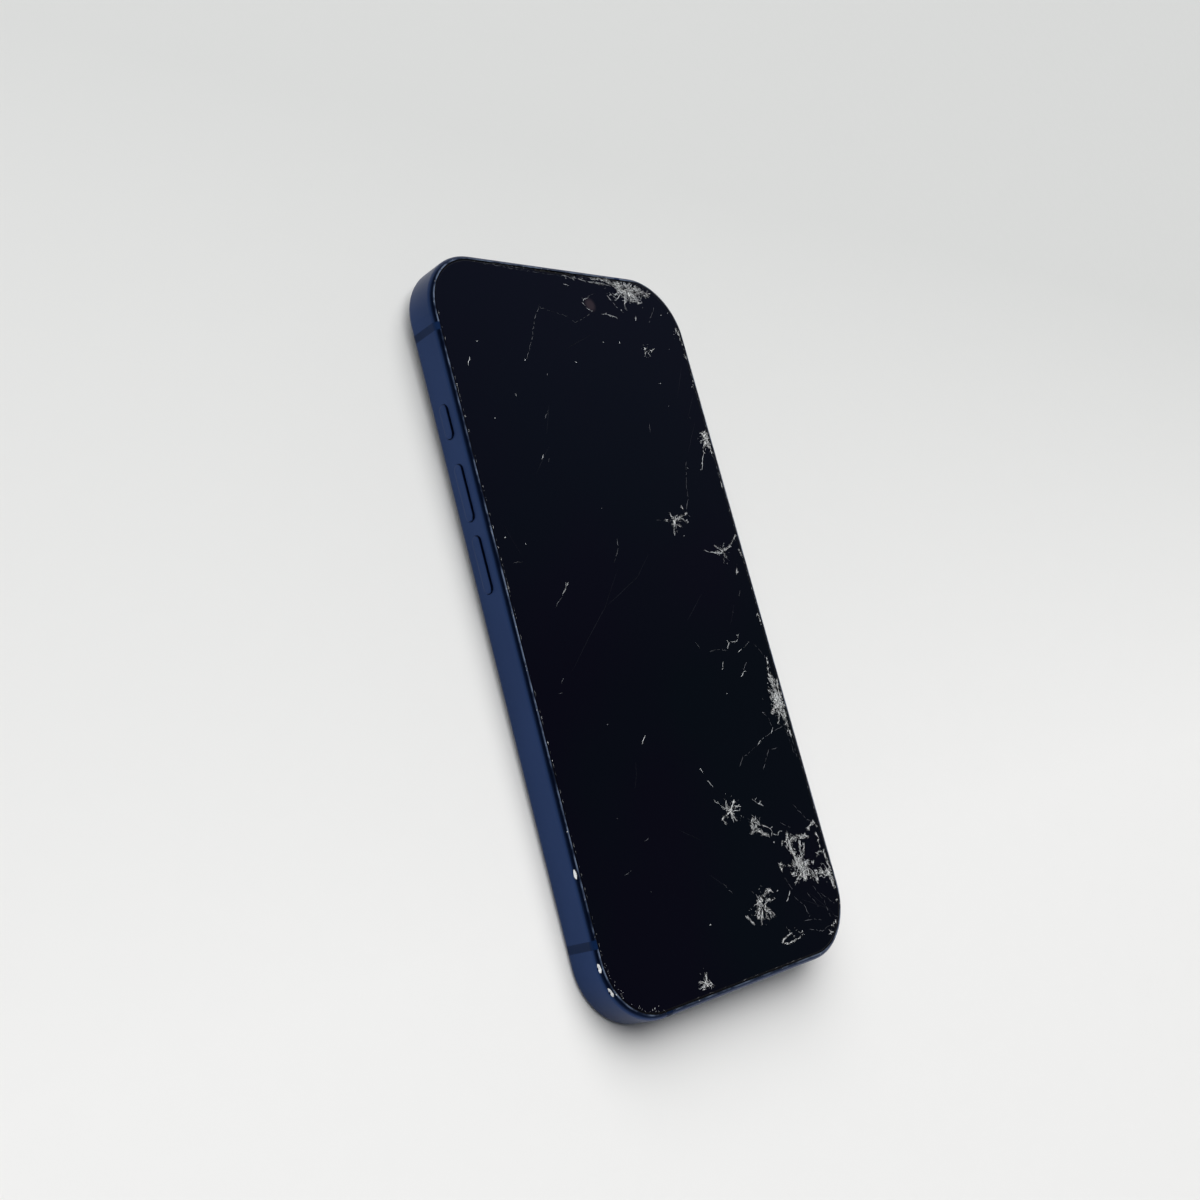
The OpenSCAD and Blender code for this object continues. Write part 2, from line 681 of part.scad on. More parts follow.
// Flat winding: side by side turns, joined as one solid
module charging_coil() color(copper) translate([0, coil_y, 0]) rotate_extrude() polygon(concat(
    [[coil_r0, z_back1]],
    [for (k = [0:coil_turns - 1], p = [[0, 0.2], [0.2, 0.35], [0.8, 0.35], [1, 0.2]])
        if (p[0] > 0 || k == 0) [coil_r0 + (k + p[0]) * turn_w, z_back1 + p[1]]],
    [[coil_r0 + coil_turns * turn_w, z_back1]]
));

module coil_shield() color(graphite) disc(0, coil_y, coil_r0 + coil_turns * turn_w + 0.5,
    z_back1 + 0.35, z_back1 + 0.5);

magnets = 18;
module magnet_ring() color(steel) translate([0, coil_y, z_back1])
    for (k = [0:magnets - 1]) rotate([0, 0, k * 360 / magnets + 1])
        rotate_extrude(angle = 360 / magnets - 2) translate([magnet_d / 2 - 4.2, 0]) square([4.2, 0.45]);

module alignment_magnet() color(steel)
    block(-3, 3, coil_y - magnet_d / 2 - 20, coil_y - magnet_d / 2 - 3, z_back1, z_back1 + 0.45, 0.5);

// ---------- battery and boards ----------

// Cell with the ribbon that runs to its socket on the board
module battery() color(graphite) {
    block(battery_x0, battery_x1, bay_y0, bay_y1, z_plate1, z_module, 1.5);
    block(battery_x1 - 1, board_x0 + 7, battery_flex_y, battery_flex_y + 4, z_socket, z_socket + flex_t);
}

module board_holes() for (k = [6, 7]) disc(bosses[k][0], bosses[k][1], boss_r + 0.15, z_plate1 - 1, z_bay);

module main_board() color(board_green) {
    difference() {
        block(board_x0, board_x1, board_y0, board_y1, z_plate1, z_plate1 + board_t, 0.8);
        board_holes();
    }
    // sockets for the ribbons of the charging socket, the display and the battery
    for (x = [board_x0 + 4, board_x1 - 11.5])
        block(x, x + 6, board_y0 + 1.2, board_y0 + 3.2, z_plate1 + board_t - eps, z_socket);
    block(board_x0 + 3, board_x0 + 6.6, battery_flex_y + 0.4, battery_flex_y + 3.6,
        z_plate1 + board_t - eps, z_socket);
}

stack_y0 = board_y0 + connector_len;
interposer_h = 0.9;
z_upper = z_plate1 + board_t + interposer_h;

module board_interposer() color(black) difference() {
    block(board_x0 + 0.3, board_x1 - 0.3, stack_y0, board_y1 - 0.3, z_plate1 + board_t, z_upper, 0.8);
    block(board_x0 + 1.9, board_x1 - 1.9, stack_y0 + 1.6, board_y1 - 1.9, z_plate1, z_upper + 1, 0.8);
}

module upper_board() color(board_green)
    block(board_x0 + 0.3, board_x1 - 0.3, stack_y0, board_y1 - 0.3, z_upper, z_upper + 0.5, 0.8);

module shield_can() color(steel)
    block(board_x0 + 0.8, board_x1 - 0.8, stack_y0 + 0.6, board_y1 - 0.9, z_upper + 0.5, z_bay - 0.5, 0.6);

module processor() color(black) block((board_x0 + board_x1) / 2 - 6.5, (board_x0 + board_x1) / 2 + 6.5,
    stack_y0 + 16, stack_y0 + 29, z_plate1 + board_t, z_upper - 0.1);

module connector_cover() color(steel) difference() {
    block(board_x0 + 0.3, board_x1 - 0.3, board_y0 + 0.6, stack_y0 - 1, z_cover, z_cover + 0.2, 0.8);
    for (k = [6, 7]) disc(bosses[k][0], bosses[k][1], screw_r + 0.07, z_cover - 1, z_cover + 1);
}

// ---------- bottom bay ----------

// A sealed module with an ear on each side for its screws
module eared(x0, x1, k0) {
    block(x0, x1, bottom_y + slack + 2.2, module_y1, z_plate1, z_module, 1.5);
    for (k = [k0, k0 + 1]) difference() {
        block(min(bosses[k][0] - boss_r, (x0 + x1) / 2), max(bosses[k][0] + boss_r, (x0 + x1) / 2),
            ear_y - 1.6, ear_y + 1.6, z_ear, z_ear + ear_t);
        disc(bosses[k][0], bosses[k][1], screw_r + 0.07, z_ear - 1, z_ear + 1);
    }
}

module vibration_motor() color(steel) eared(motor_x0, motor_x1, 2);
module loudspeaker() color(black) eared(speaker_x0, speaker_x1, 4);

module shell_profile(grow) rotate([0, 0, 90]) stadium(port_w + 2 * grow, port_h + 2 * grow);

module socket_shell() color(steel) difference() {
    translate([0, bottom_y + port_depth, z_mid]) rotate([90, 0, 0]) linear_extrude(port_depth)
        shell_profile(shell_t);
    translate([0, bottom_y + port_depth - shell_t, z_mid]) rotate([90, 0, 0]) linear_extrude(port_depth)
        shell_profile(0);
}

module socket_tongue() color(black)
    block(-3.35, 3.35, bottom_y + 1.1, bottom_y + port_depth - shell_t, z_mid - 0.35, z_mid + 0.35);

// Ribbon from the socket to the board
module port_flex() color(amber) {
    x0 = board_x0 + 4;
    y1 = bay_y0 - 0.2;
    block(-4, 4, bottom_y + port_depth + 0.1, y1, z_plate1, z_plate1 + flex_t);
    block(-4, x0 + 6, y1 - 1, y1, z_plate1, z_plate1 + flex_t);
    block(x0, x0 + 6, y1 - flex_t, y1, z_plate1, z_socket + flex_t);
    block(x0, x0 + 6, y1 - flex_t, board_y0 + 3.2, z_socket, z_socket + flex_t);
    // stiffener that carries the socket
    block(-4, 4, bottom_y + port_depth + 0.1, bottom_y + port_depth + 1, z_plate1, z_mid + 1);
}

module grille_meshes() color(graphite) for (s = [-1, 1]) {
    far = grille_x0 + (s < 0 ? 3 : 4) * grille_pitch + 1.4;
    block(s < 0 ? -far : grille_x0 - 1.4, s < 0 ? -grille_x0 + 1.4 : far,
        bottom_y, bottom_y + 0.15, z_mid - 1.2, z_mid + 1.2);
}

// ---------- fasteners ----------

// The star-shaped recess of a bottom screw
module star_recess(y) for (a = [0:72:359])
    along_y(0.28 * cos(a), 0.28 * sin(a), 0.16, y - 1, y + 0.3);

module bottom_screws() color(blue_metal) for (s = [-1, 1]) translate([s * screw_x, 0, z_mid]) difference() {
    union() {
        along_y(0, 0, 0.8, -half_h + 0.15, -half_h + 0.6);
        along_y(0, 0, 0.5, -half_h + 0.6 - eps, bottom_y + 1.9);
    }
    star_recess(-half_h + 0.15);
}

module inner_screws() color(steel) for (k = [0:len(bosses) - 1]) {
    b = bosses[k];
    sheet = k < 2 ? bracket_t : k < 6 ? ear_t : 0.2;
    difference() {
        union() {
            disc(b[0], b[1], screw_head_r, b[2] + sheet, b[2] + sheet + 0.35);
            disc(b[0], b[1], screw_r, z_plate1 + 0.6, b[2] + sheet + eps);
        }
        for (a = [0, 90]) translate([b[0], b[1], b[2] + sheet + 0.3]) rotate([0, 0, a])
            cube([1.2, 0.25, 0.3], center = true);
    }
}

// ---------- assembly ----------

frame();
antenna_break(0);  // antenna_break_left_upper
antenna_break(1);  // antenna_break_left_lower
antenna_break(2);  // antenna_break_right_upper
antenna_break(3);  // antenna_break_right_lower
antenna_break(4);  // antenna_break_top
antenna_break(5);  // antenna_break_bottom
cover_glass();
display_panel();
display_backplate();
display_bezel();
display_seal();
display_flex();
earpiece_mesh();
earpiece_speaker();
front_camera();
face_sensor();
action_button();
volume_up_button();
volume_down_button();
side_button();
left_switch_strip();
right_switch_strip();
dome_switches();
back_glass();
back_seal();
lens_rim(0);  // lens_rim_upper
lens_rim(1);  // lens_rim_middle
lens_rim(2);  // lens_rim_lower
lens_cover(0);  // lens_cover_upper
lens_cover(1);  // lens_cover_middle
lens_cover(2);  // lens_cover_lower
rear_camera(0);  // rear_camera_upper
rear_camera(1);  // rear_camera_middle
rear_camera(2);  // rear_camera_lower
camera_bracket();
flash_lens();
flash_led();
depth_window();
depth_sensor();
rear_mic_mesh();
charging_coil();
coil_shield();
magnet_ring();
alignment_magnet();
battery();
main_board();
board_interposer();
upper_board();
shield_can();
processor();
connector_cover();
vibration_motor();
loudspeaker();
socket_shell();
socket_tongue();
port_flex();
grille_meshes();
bottom_screws();
inner_screws();
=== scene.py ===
# %% [markdown]
# # A phone with a shattered screen
#
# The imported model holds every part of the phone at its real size: the metal band, the buttons, the
# cameras, the battery and the boards. This script gives each of them its finish, and it builds the
# one part whose looks a construction drawing can't hold, the shattered cover glass. Blender counts
# in metres, so most sizes here are a number of millimetres times `mm`.

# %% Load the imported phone
import json
import math
import random

import bmesh
import bpy
from mathutils import Matrix, Vector


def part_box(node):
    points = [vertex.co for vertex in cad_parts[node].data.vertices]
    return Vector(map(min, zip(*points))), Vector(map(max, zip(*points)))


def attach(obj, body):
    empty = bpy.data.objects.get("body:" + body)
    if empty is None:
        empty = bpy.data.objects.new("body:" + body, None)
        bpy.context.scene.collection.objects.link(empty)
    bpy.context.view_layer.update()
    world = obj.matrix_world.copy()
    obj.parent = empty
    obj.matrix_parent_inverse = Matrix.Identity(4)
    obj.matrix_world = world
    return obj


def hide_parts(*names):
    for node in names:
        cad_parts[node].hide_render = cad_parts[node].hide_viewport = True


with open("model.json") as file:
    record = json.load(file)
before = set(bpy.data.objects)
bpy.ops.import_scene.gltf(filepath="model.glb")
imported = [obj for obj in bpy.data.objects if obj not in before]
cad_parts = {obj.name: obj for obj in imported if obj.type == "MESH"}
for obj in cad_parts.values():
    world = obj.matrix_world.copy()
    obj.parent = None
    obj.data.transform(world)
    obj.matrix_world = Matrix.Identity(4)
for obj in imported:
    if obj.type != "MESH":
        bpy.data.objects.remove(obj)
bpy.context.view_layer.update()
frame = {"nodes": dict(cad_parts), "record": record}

mm = 0.001
scene = bpy.context.scene
scene.view_settings.view_transform = "Standard"
nodes = frame["nodes"]
glass_low, glass_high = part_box("cover_glass")
front = glass_high.z

# %% [markdown]
# ## The camera
#
# A camera is placed by three things: where it stands, the point it looks at, and which way is up in
# the picture. The phone lies on its back here, but it looks best as a phone does in the hand, with
# its length upright in the picture. So the picture's up is nearly the phone's own length, +Y.

# %% Place the camera
eye = Vector((-227.6, -48.1, 217.9)) * mm
looked_at = Vector((-12.9, 3.2, 11.75)) * mm
picture_up = Vector((0.059, 0.953, 0.298))

backwards = (eye - looked_at).normalized()
right = picture_up.cross(backwards).normalized()
up = backwards.cross(right)
camera = bpy.data.objects.new("camera", bpy.data.cameras.new("camera"))
scene.collection.objects.link(camera)
camera.matrix_world = Matrix.Translation(eye) @ Matrix((right, up, backwards)).transposed().to_4x4()
camera.data.lens = 43.9
camera.data.sensor_width = 36
camera.data.clip_start = 0.01
camera.data.clip_end = 20
scene.camera = camera
print("camera", round((eye - looked_at).length / mm), "mm from the screen")

# %% [markdown]
# ## The floor
#
# A phone with raised lenses doesn't lie level: it leans on one lens rim and on the corner across
# from it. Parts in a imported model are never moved, so the floor leans instead. `downhill` is the
# direction in which the phone's back comes down to the floor, from the rim to that corner.

# %% Find how the floor leans
downhill = Vector((-0.88, -0.48, 0)).normalized()
rim_height = 3.5 * mm  # how far the lens rims stand out of the back
rim_foot = [v.co for v in nodes["lens_rim_lower"].data.vertices if v.co.z < 0.05 * mm]
reach_of_rim = max(point.dot(downhill) for point in rim_foot)
reach_of_corner = max(v.co.dot(downhill) for v in nodes["back_glass"].data.vertices)
slope = rim_height / (reach_of_corner - reach_of_rim)
print("floor leans", round(math.degrees(math.atan(slope)), 2), "degrees")


# %% Lay the floor
def mesh_of(name, shape):
    """Makes a mesh of a bmesh, and frees the bmesh."""
    made = bpy.data.meshes.new(name)
    shape.to_mesh(made)
    shape.free()
    return made


half_side = 4  # metres
sheet = bmesh.new()
bmesh.ops.create_grid(sheet, x_segments=8, y_segments=8, size=half_side)
for v in sheet.verts:
    v.co.z = slope * (v.co.dot(downhill) - reach_of_rim)
floor = bpy.data.objects.new("floor", mesh_of("floor", sheet))
scene.collection.objects.link(floor)
print("floor", 2 * half_side, "m wide")

# %% [markdown]
# ## The studio around the phone
#
# A dark, glossy screen shows whatever is opposite it. In a product studio that place is kept dark, so
# that a black screen stays black and the cracks stand out. The world here is pale near the horizon,
# where the metal band looks, and dark overhead, where the screen looks. Light Path tells the
# camera's own rays from the rest, and where these miss the floor they see the pale colour only.

# %% Make the world
world = bpy.data.worlds.new("studio")
scene.world = world
world.use_nodes = True
sky = world.node_tree
background = sky.nodes["Background"]
direction = sky.nodes.new("ShaderNodeTexCoord").outputs["Generated"]
parts_of = sky.nodes.new("ShaderNodeSeparateXYZ")
sky.links.new(direction, parts_of.inputs[0])
by_height = sky.nodes.new("ShaderNodeValToRGB")
pale, dark = (0.86, 0.865, 0.85, 1), (0.05, 0.055, 0.065, 1)
# a height is the sine of an angle above the horizon: pale up to 3 degrees, dark from 19 degrees
for stop, height, color in zip(by_height.color_ramp.elements, (0.05, 0.32), (pale, dark)):
    stop.position = height
    stop.color = color
sky.links.new(parts_of.outputs["Z"], by_height.inputs[0])
seen = sky.nodes.new("ShaderNodeLightPath").outputs["Is Camera Ray"]
plain = sky.nodes.new("ShaderNodeMix")
plain.data_type = "RGBA"
# a Mix node's two colours are its inputs 6 and 7, and its mixed colour is output 2
plain.inputs[7].default_value = pale
sky.links.new(seen, plain.inputs[0])
sky.links.new(by_height.outputs[0], plain.inputs[6])
sky.links.new(plain.outputs[2], background.inputs["Color"])
print("world has", len(sky.nodes), "nodes")

# %% [markdown]
# ## Soft window light
#
# The light comes from beyond the phone's top end, as from a tall window on an overcast day. A sun
# lamp with a wide angle gives that: the wider it is, the softer the shadow. A glossy screen would
# mirror such a light as a white field from some side, so ray visibility hides it from reflections.
# Then the screen stays black from every side, and the metal shows only the pale horizon.

# %% Add the light
towards_light = Vector((-0.15, 0.62, 0.77)).normalized()
window_light = bpy.data.objects.new("window_light", bpy.data.lights.new("window_light", "SUN"))
window_light.data.energy = 3.85
window_light.data.angle = math.radians(75)
window_light.visible_glossy = False
window_light.location = towards_light * 6
window_light.rotation_euler = towards_light.to_track_quat("Z", "Y").to_euler()
scene.collection.objects.link(window_light)
print("light from", round(math.degrees(math.asin(towards_light.z))), "degrees above the horizon")

# %% [markdown]
# ## A short way to write a finish
#
# Every finish starts from Blender's Principled shader and gets the same kinds of detail: colour that
# drifts a little, roughness that isn't even, and a fine bump. Written out node by node this fills
# pages, so `Finish` wraps the few steps that all of them share. Patterns read object coordinates,
# which are metres here, so a pattern's size can be given as a real size.

# %% A class that builds materials


class Finish:
    """A material with a Principled shader, and helpers that add nodes in front of it."""

    def __init__(self, name, roughness, metallic=0.0, **sockets):
        self.material = bpy.data.materials.new(name)
        self.material.use_nodes = True
        self.tree = self.material.node_tree
        self.shader = self.tree.nodes["Principled BSDF"]
        self.place = self.node("ShaderNodeTexCoord").outputs["Object"]
        self.shader.inputs["Roughness"].default_value = roughness
        self.shader.inputs["Metallic"].default_value = metallic
        for socket, value in sockets.items():
            self.shader.inputs[socket.replace("_", " ")].default_value = value

    def node(self, kind, **settings):
        made = self.tree.nodes.new(kind)
        for setting, value in settings.items():
            setattr(made, setting, value)
        return made

    def feed(self, socket, source):
        """Links a node's output to an input, or sets a plain value on it."""
        if isinstance(source, bpy.types.NodeSocket):
            self.tree.links.new(source, socket)
        else:
            socket.default_value = source

    def math(self, operation, a, b=0.0):
        made = self.node("ShaderNodeMath", operation=operation)
        self.feed(made.inputs[0], a)
        self.feed(made.inputs[1], b)
        return made.outputs[0]

    def stretched(self, stretch):
        """Object coordinates with patterns made longer along an axis: (1, 9, 1) stretches along Y."""
        made = self.node("ShaderNodeMapping")
        self.feed(made.inputs["Vector"], self.place)
        made.inputs["Scale"].default_value = [1 / s for s in stretch]
        return made.outputs[0]

    def noise(self, size, detail=2.0, stretch=None):
        made = self.node("ShaderNodeTexNoise")
        self.feed(made.inputs["Vector"], self.stretched(stretch) if stretch else self.place)
        made.inputs["Scale"].default_value = 1 / size
        made.inputs["Detail"].default_value = detail
        return made.outputs["Fac"]

    def between(self, source, low, high, start=0.3, end=0.7):
        """Turns start..end of a pattern into low..high."""
        made = self.node("ShaderNodeMapRange")
        self.feed(made.inputs["Value"], source)
        for socket, value in zip(("From Min", "From Max", "To Min", "To Max"), (start, end, low, high)):
            made.inputs[socket].default_value = value
        return made.outputs[0]

    def mix(self, amount, a, b):
        """Colour a, or b where amount is 1. A Mix node's colours are its inputs 6 and 7."""
        made = self.node("ShaderNodeMix", data_type="RGBA")
        self.feed(made.inputs[0], amount)
        for socket, color in ((made.inputs[6], a), (made.inputs[7], b)):
            self.feed(socket, color if isinstance(color, bpy.types.NodeSocket) else (*color, 1))
        return made.outputs[2]

    def color(self, source):
        self.feed(self.shader.inputs["Base Color"], source)

    def roughness(self, source):
        self.feed(self.shader.inputs["Roughness"], source)

    def metallic(self, source):
        self.feed(self.shader.inputs["Metallic"], source)

    def bump(self, height, depth):
        made = self.node("ShaderNodeBump")
        made.inputs["Distance"].default_value = depth
        self.feed(made.inputs["Height"], height)
        self.feed(self.shader.inputs["Normal"], made.outputs[0])


def tinted(color, factor):
    return tuple(channel * factor for channel in color)


def plain_finish(name, color, roughness, metallic=0.0, patch=5 * mm, grain=0.12 * mm, vary=0.2,
                 depth=0.004 * mm, stretch=None, **sockets):
    """The detail that every moulded, coated or drawn surface has, at the given sizes."""
    made = Finish(name, roughness, metallic, **sockets)
    drift = made.between(made.noise(patch, 3.0), 0, 1)
    made.color(made.mix(drift, tinted(color, 1 - vary), tinted(color, 1 + vary)))
    fine = made.noise(grain, 2.0, stretch)
    made.roughness(made.between(fine, max(0.03, roughness - 0.08), roughness + 0.08))
    made.bump(fine, depth)
    return made


print("finish helpers are ready")

# %% [markdown]
# ## The metal band
#
# The band is dyed metal: fine blasting, an oxide skin, and a dark blue dye in it. It is satin, so it
# shows the room as soft gradients. Where the phone was dropped, the dye is gone and the bright metal
# shows in small lens-shaped spots. Each spot is an ellipsoid around a point on the band's edge: a
# Mapping node set to TEXTURE turns it into a unit ball, and a length under 1 is inside it.


# %% Points and spots on the band
def from_middle(finish, middle, turn, sizes):
    """0 at the middle of an ellipsoid, 1 on its surface, and more outside it."""
    ball = finish.node("ShaderNodeMapping", vector_type="TEXTURE")
    finish.feed(ball.inputs["Vector"], finish.place)
    ball.inputs["Location"].default_value = middle
    ball.inputs["Rotation"].default_value = (0, 0, turn)
    ball.inputs["Scale"].default_value = sizes
    reach = finish.node("ShaderNodeVectorMath", operation="LENGTH")
    finish.feed(reach.inputs[0], ball.outputs[0])
    return reach.outputs["Value"]


def bare_spot(finish, middle, turn, sizes):
    """1 inside an ellipsoid with an uneven outline, 0 outside it."""
    uneven = finish.between(finish.noise(0.6 * mm, 1.0), 0.85, 1.1)
    return finish.math("LESS_THAN", from_middle(finish, middle, turn, sizes), uneven)


half_w, half_h = 38.35 * mm, 79.95 * mm
band_corner = 13.9 * mm


def corner_point(angle, out):
    """A point beside the band's lower left corner, at an angle around the corner's centre."""
    a = math.radians(angle)
    centre = Vector((band_corner - half_w, band_corner - half_h, 0))
    return centre + out * Vector((math.cos(a), math.sin(a), 0))


print("band", round(2 * half_w / mm, 2), "by", round(2 * half_h / mm, 2), "mm")

# %% [markdown]
# ## Wear on the band, and a painted highlight on its edge
#
# Wear goes from little to much: beside the glass the edge has dust-sized chips, and in a few spots
# all the dye is gone. Along the very edge, a thin pale line is a painted highlight, in the colour of
# dye rubbed thin. All three are masks from 0 to 1, and the colour, the metallic value and the
# roughness are mixed by them.

# %% The band's finish
band_blue = (0.0215, 0.0435, 0.122)
# the colour of the painted highlight along the band's very edge
edge_highlight_blue = (0.20, 0.26, 0.38)
bare_metal = (0.80, 0.82, 0.83)
band_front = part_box("frame")[1].z
chip_level = 0.715  # a higher level leaves fewer chips


def band_finish(name, color, spots=()):
    """Blasted and dyed metal, with bare spots given as middle, turn and sizes."""
    made = Finish(name, 0.4, 1.0)
    drift = made.noise(22 * mm, 2.0, (1, 2.2, 1))
    dye = made.mix(made.between(drift, 0, 1), tinted(color, 0.85), tinted(color, 1.15))
    blasted = made.noise(0.07 * mm, 2.0)
    rough = made.between(blasted, 0.34, 0.46)
    bare = None
    for middle, turn, sizes in spots:
        spot = bare_spot(made, middle, turn, sizes)
        bare = spot if bare is None else made.math("MAXIMUM", bare, spot)
    # dust-sized chips, only along the edge beside the glass
    height = made.node("ShaderNodeSeparateXYZ")
    made.feed(height.inputs[0], made.place)
    near_edge = made.between(height.outputs["Z"], 0, 1, front - 0.55 * mm, front - 0.1 * mm)
    speckle = made.math("MULTIPLY", made.noise(0.45 * mm, 1.0), near_edge)
    chips = made.math("GREATER_THAN", speckle, chip_level)
    bare = chips if bare is None else made.math("MAXIMUM", bare, chips)
    # painted highlight: a pale line along the very edge, in the colour of dye rubbed thin
    rim = made.between(height.outputs["Z"], 0, 1, band_front - 0.14 * mm, band_front - 0.03 * mm)
    edge_highlight = made.math("MULTIPLY", rim, made.between(made.noise(3 * mm, 3.0), 0.15, 1, 0.4, 0.6))
    dye = made.mix(edge_highlight, dye, edge_highlight_blue)
    made.color(made.mix(bare, dye, bare_metal))
    # the bare spots and the painted highlight both make the metal less metallic and rougher
    wear_and_highlight = made.math("MAXIMUM", bare, made.math("MULTIPLY", edge_highlight, 0.7))
    made.metallic(made.between(wear_and_highlight, 1.0, 0.25, 0, 1))
    made.roughness(made.math("MAXIMUM", rough, made.math("MULTIPLY", wear_and_highlight, 0.5)))
    made.bump(blasted, 0.0015 * mm)
    return made


# %% Bare spots: one on the long side and two around the lower corner
edge_z = front - 0.35 * mm
into_band = 0.1 * mm
band_spots = [((-half_w + into_band, -49.4 * mm, edge_z), 0, (0.4 * mm, 1.1 * mm, 0.36 * mm))]
for angle, length in ((185, 1.0 * mm), (206, 1.25 * mm)):
    middle = corner_point(angle, band_corner - into_band) + Vector((0, 0, edge_z))
    band_spots.append((middle, math.radians(angle), (0.5 * mm, length, 0.33 * mm)))
band_metal = band_finish("band_metal", band_blue, band_spots)
button_metal = band_finish("button_metal", band_blue)
rim_metal = band_finish("rim_metal", tinted(band_blue, 1.1))
print("band finishes with", len(band_spots), "bare spots")

# %% [markdown]
# ## Plastics, seals and sheet metal
#
# Moulded plastic, rubbery sealant, foil and drawn sheet metal differ in few things: the colour, the
# gloss, and the size and direction of the grain. So `plain_finish` makes them all. Sheet steel has
# its grain stretched along the direction in which it was rolled.

# %% Plastics, seals, foils and steel
break_plastic = plain_finish("break_plastic", (0.003, 0.0135, 0.050), 0.5, vary=0.1,
                             Specular_IOR_Level=0.1)
black_plastic = plain_finish("black_plastic", (0.005, 0.005, 0.006), 0.5, grain=0.2 * mm,
                             Specular_IOR_Level=0.25)
sealant = plain_finish("sealant", (0.010, 0.010, 0.011), 0.75, grain=0.4 * mm, depth=0.02 * mm)
display = plain_finish("display", (0.006, 0.007, 0.011), 0.25, vary=0.15)
graphite_sheet = plain_finish("graphite_sheet", (0.055, 0.055, 0.06), 0.5, 0.4, stretch=(9, 1, 1))
battery_wrap = plain_finish("battery_wrap", (0.02, 0.02, 0.022), 0.38, patch=14 * mm, grain=1.2 * mm,
                            depth=0.03 * mm)
magnet = plain_finish("magnet", (0.55, 0.55, 0.56), 0.3, 1.0, patch=3 * mm)
flash_chip = plain_finish("flash_chip", (0.75, 0.55, 0.12), 0.55, grain=0.3 * mm)
steel_sheet = plain_finish("steel_sheet", (0.52, 0.52, 0.53), 0.33, 1.0, grain=0.25 * mm,
                           stretch=(1, 14, 1))
screw_metal = plain_finish("screw_metal", (0.05, 0.07, 0.12), 0.32, 1.0, grain=0.1 * mm)
print("plain finishes", len(bpy.data.materials))

# %% [markdown]
# ## Woven mesh, ribbons and boards
#
# These have a pattern of their own. Mesh over a sound hole is woven from wires, a ribbon cable has
# parallel copper traces under an orange film, and a circuit board has gold pads on green lacquer.
# A Wave texture gives the wires and the traces, and square Voronoi cells give the pads.


# %% Woven mesh and ribbons
def striped(finish, size, axis="X"):
    """Stripes across an axis, one to each size."""
    wave = finish.node("ShaderNodeTexWave", bands_direction=axis)
    finish.feed(wave.inputs["Vector"], finish.place)
    # a wave node's own scale of 1 gives about 3.18 bands a metre
    wave.inputs["Scale"].default_value = 1 / (3.18 * size)
    return wave.outputs["Fac"]


fine_mesh = Finish("fine_mesh", 0.4, 0.8)
weave = fine_mesh.math("MAXIMUM", striped(fine_mesh, 0.12 * mm, "X"), striped(fine_mesh, 0.12 * mm, "Y"))
fine_mesh.color(fine_mesh.mix(weave, (0.004, 0.004, 0.005), (0.09, 0.09, 0.1)))
fine_mesh.roughness(fine_mesh.between(weave, 0.6, 0.35, 0, 1))
fine_mesh.bump(weave, 0.03 * mm)

ribbon = Finish("ribbon", 0.4, 0.0)
traces = striped(ribbon, 0.35 * mm)
gaps_between = ribbon.between(traces, 0, 1, 0.45, 0.55)
ribbon.color(ribbon.mix(gaps_between, (0.24, 0.09, 0.02), (0.42, 0.20, 0.06)))
ribbon.roughness(ribbon.between(ribbon.noise(0.4 * mm), 0.3, 0.5))
ribbon.bump(traces, 0.01 * mm)
print("mesh and ribbon are ready")

# %% Copper and circuit board
copper = Finish("copper", 0.3, 1.0)
drawn = copper.noise(0.5 * mm, 2.0)
copper.color(copper.mix(copper.between(drawn, 0, 1), (0.62, 0.27, 0.13), (0.80, 0.40, 0.22)))
copper.roughness(copper.between(copper.noise(0.15 * mm), 0.22, 0.38))
copper.bump(drawn, 0.006 * mm)

circuit_board = Finish("circuit_board", 0.4, 0.0)
tracks = circuit_board.node("ShaderNodeTexVoronoi", distance="CHEBYCHEV", feature="F1")
circuit_board.feed(tracks.inputs["Vector"], circuit_board.place)
tracks.inputs["Scale"].default_value = 1 / (1.1 * mm)
pads = circuit_board.between(tracks.outputs["Distance"], 1, 0, 0.22, 0.26)
circuit_board.color(circuit_board.mix(pads, (0.012, 0.05, 0.03), (0.62, 0.46, 0.2)))
circuit_board.metallic(pads)
circuit_board.roughness(circuit_board.between(circuit_board.noise(0.3 * mm), 0.3, 0.5))
circuit_board.bump(pads, 0.02 * mm)
print("copper and board are ready")

# %% [markdown]
# ## The glasses of the back
#
# The back is glass with a satin etch over a blue coat, and hands leave its gloss slightly uneven.
# The lens covers are clear, and through them one sees the lens barrels as rings. Here the covers
# are opaque and the rings are their colour: `nearest` measures how far a point is from a lens's
# axis, and a Color Ramp turns that into rings. The flash lens has fine round grooves, from a sine.

# %% Satin back glass
back_glass = plain_finish("back_glass", (0.020, 0.036, 0.095), 0.42, patch=30 * mm, grain=0.06 * mm,
                          vary=0.05, depth=0.0012 * mm, Coat_Weight=0.15, Coat_Roughness=0.35)
handled = back_glass.noise(14 * mm, 6.0, (1, 2, 1))
back_glass.roughness(back_glass.between(handled, 0.36, 0.5, 0.4, 0.62))
print("back glass is", len(back_glass.tree.nodes), "nodes")


# %% Lens covers with rings
def nearest(finish, names):
    """How far a point is from the axis of the nearest of some round parts, in millimetres."""
    least = None
    for name in names:
        part_low, part_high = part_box(name)
        reach = from_middle(finish, (part_low + part_high) / 2, 0, (mm, mm, 1))
        least = reach if least is None else finish.math("MINIMUM", least, reach)
    return least


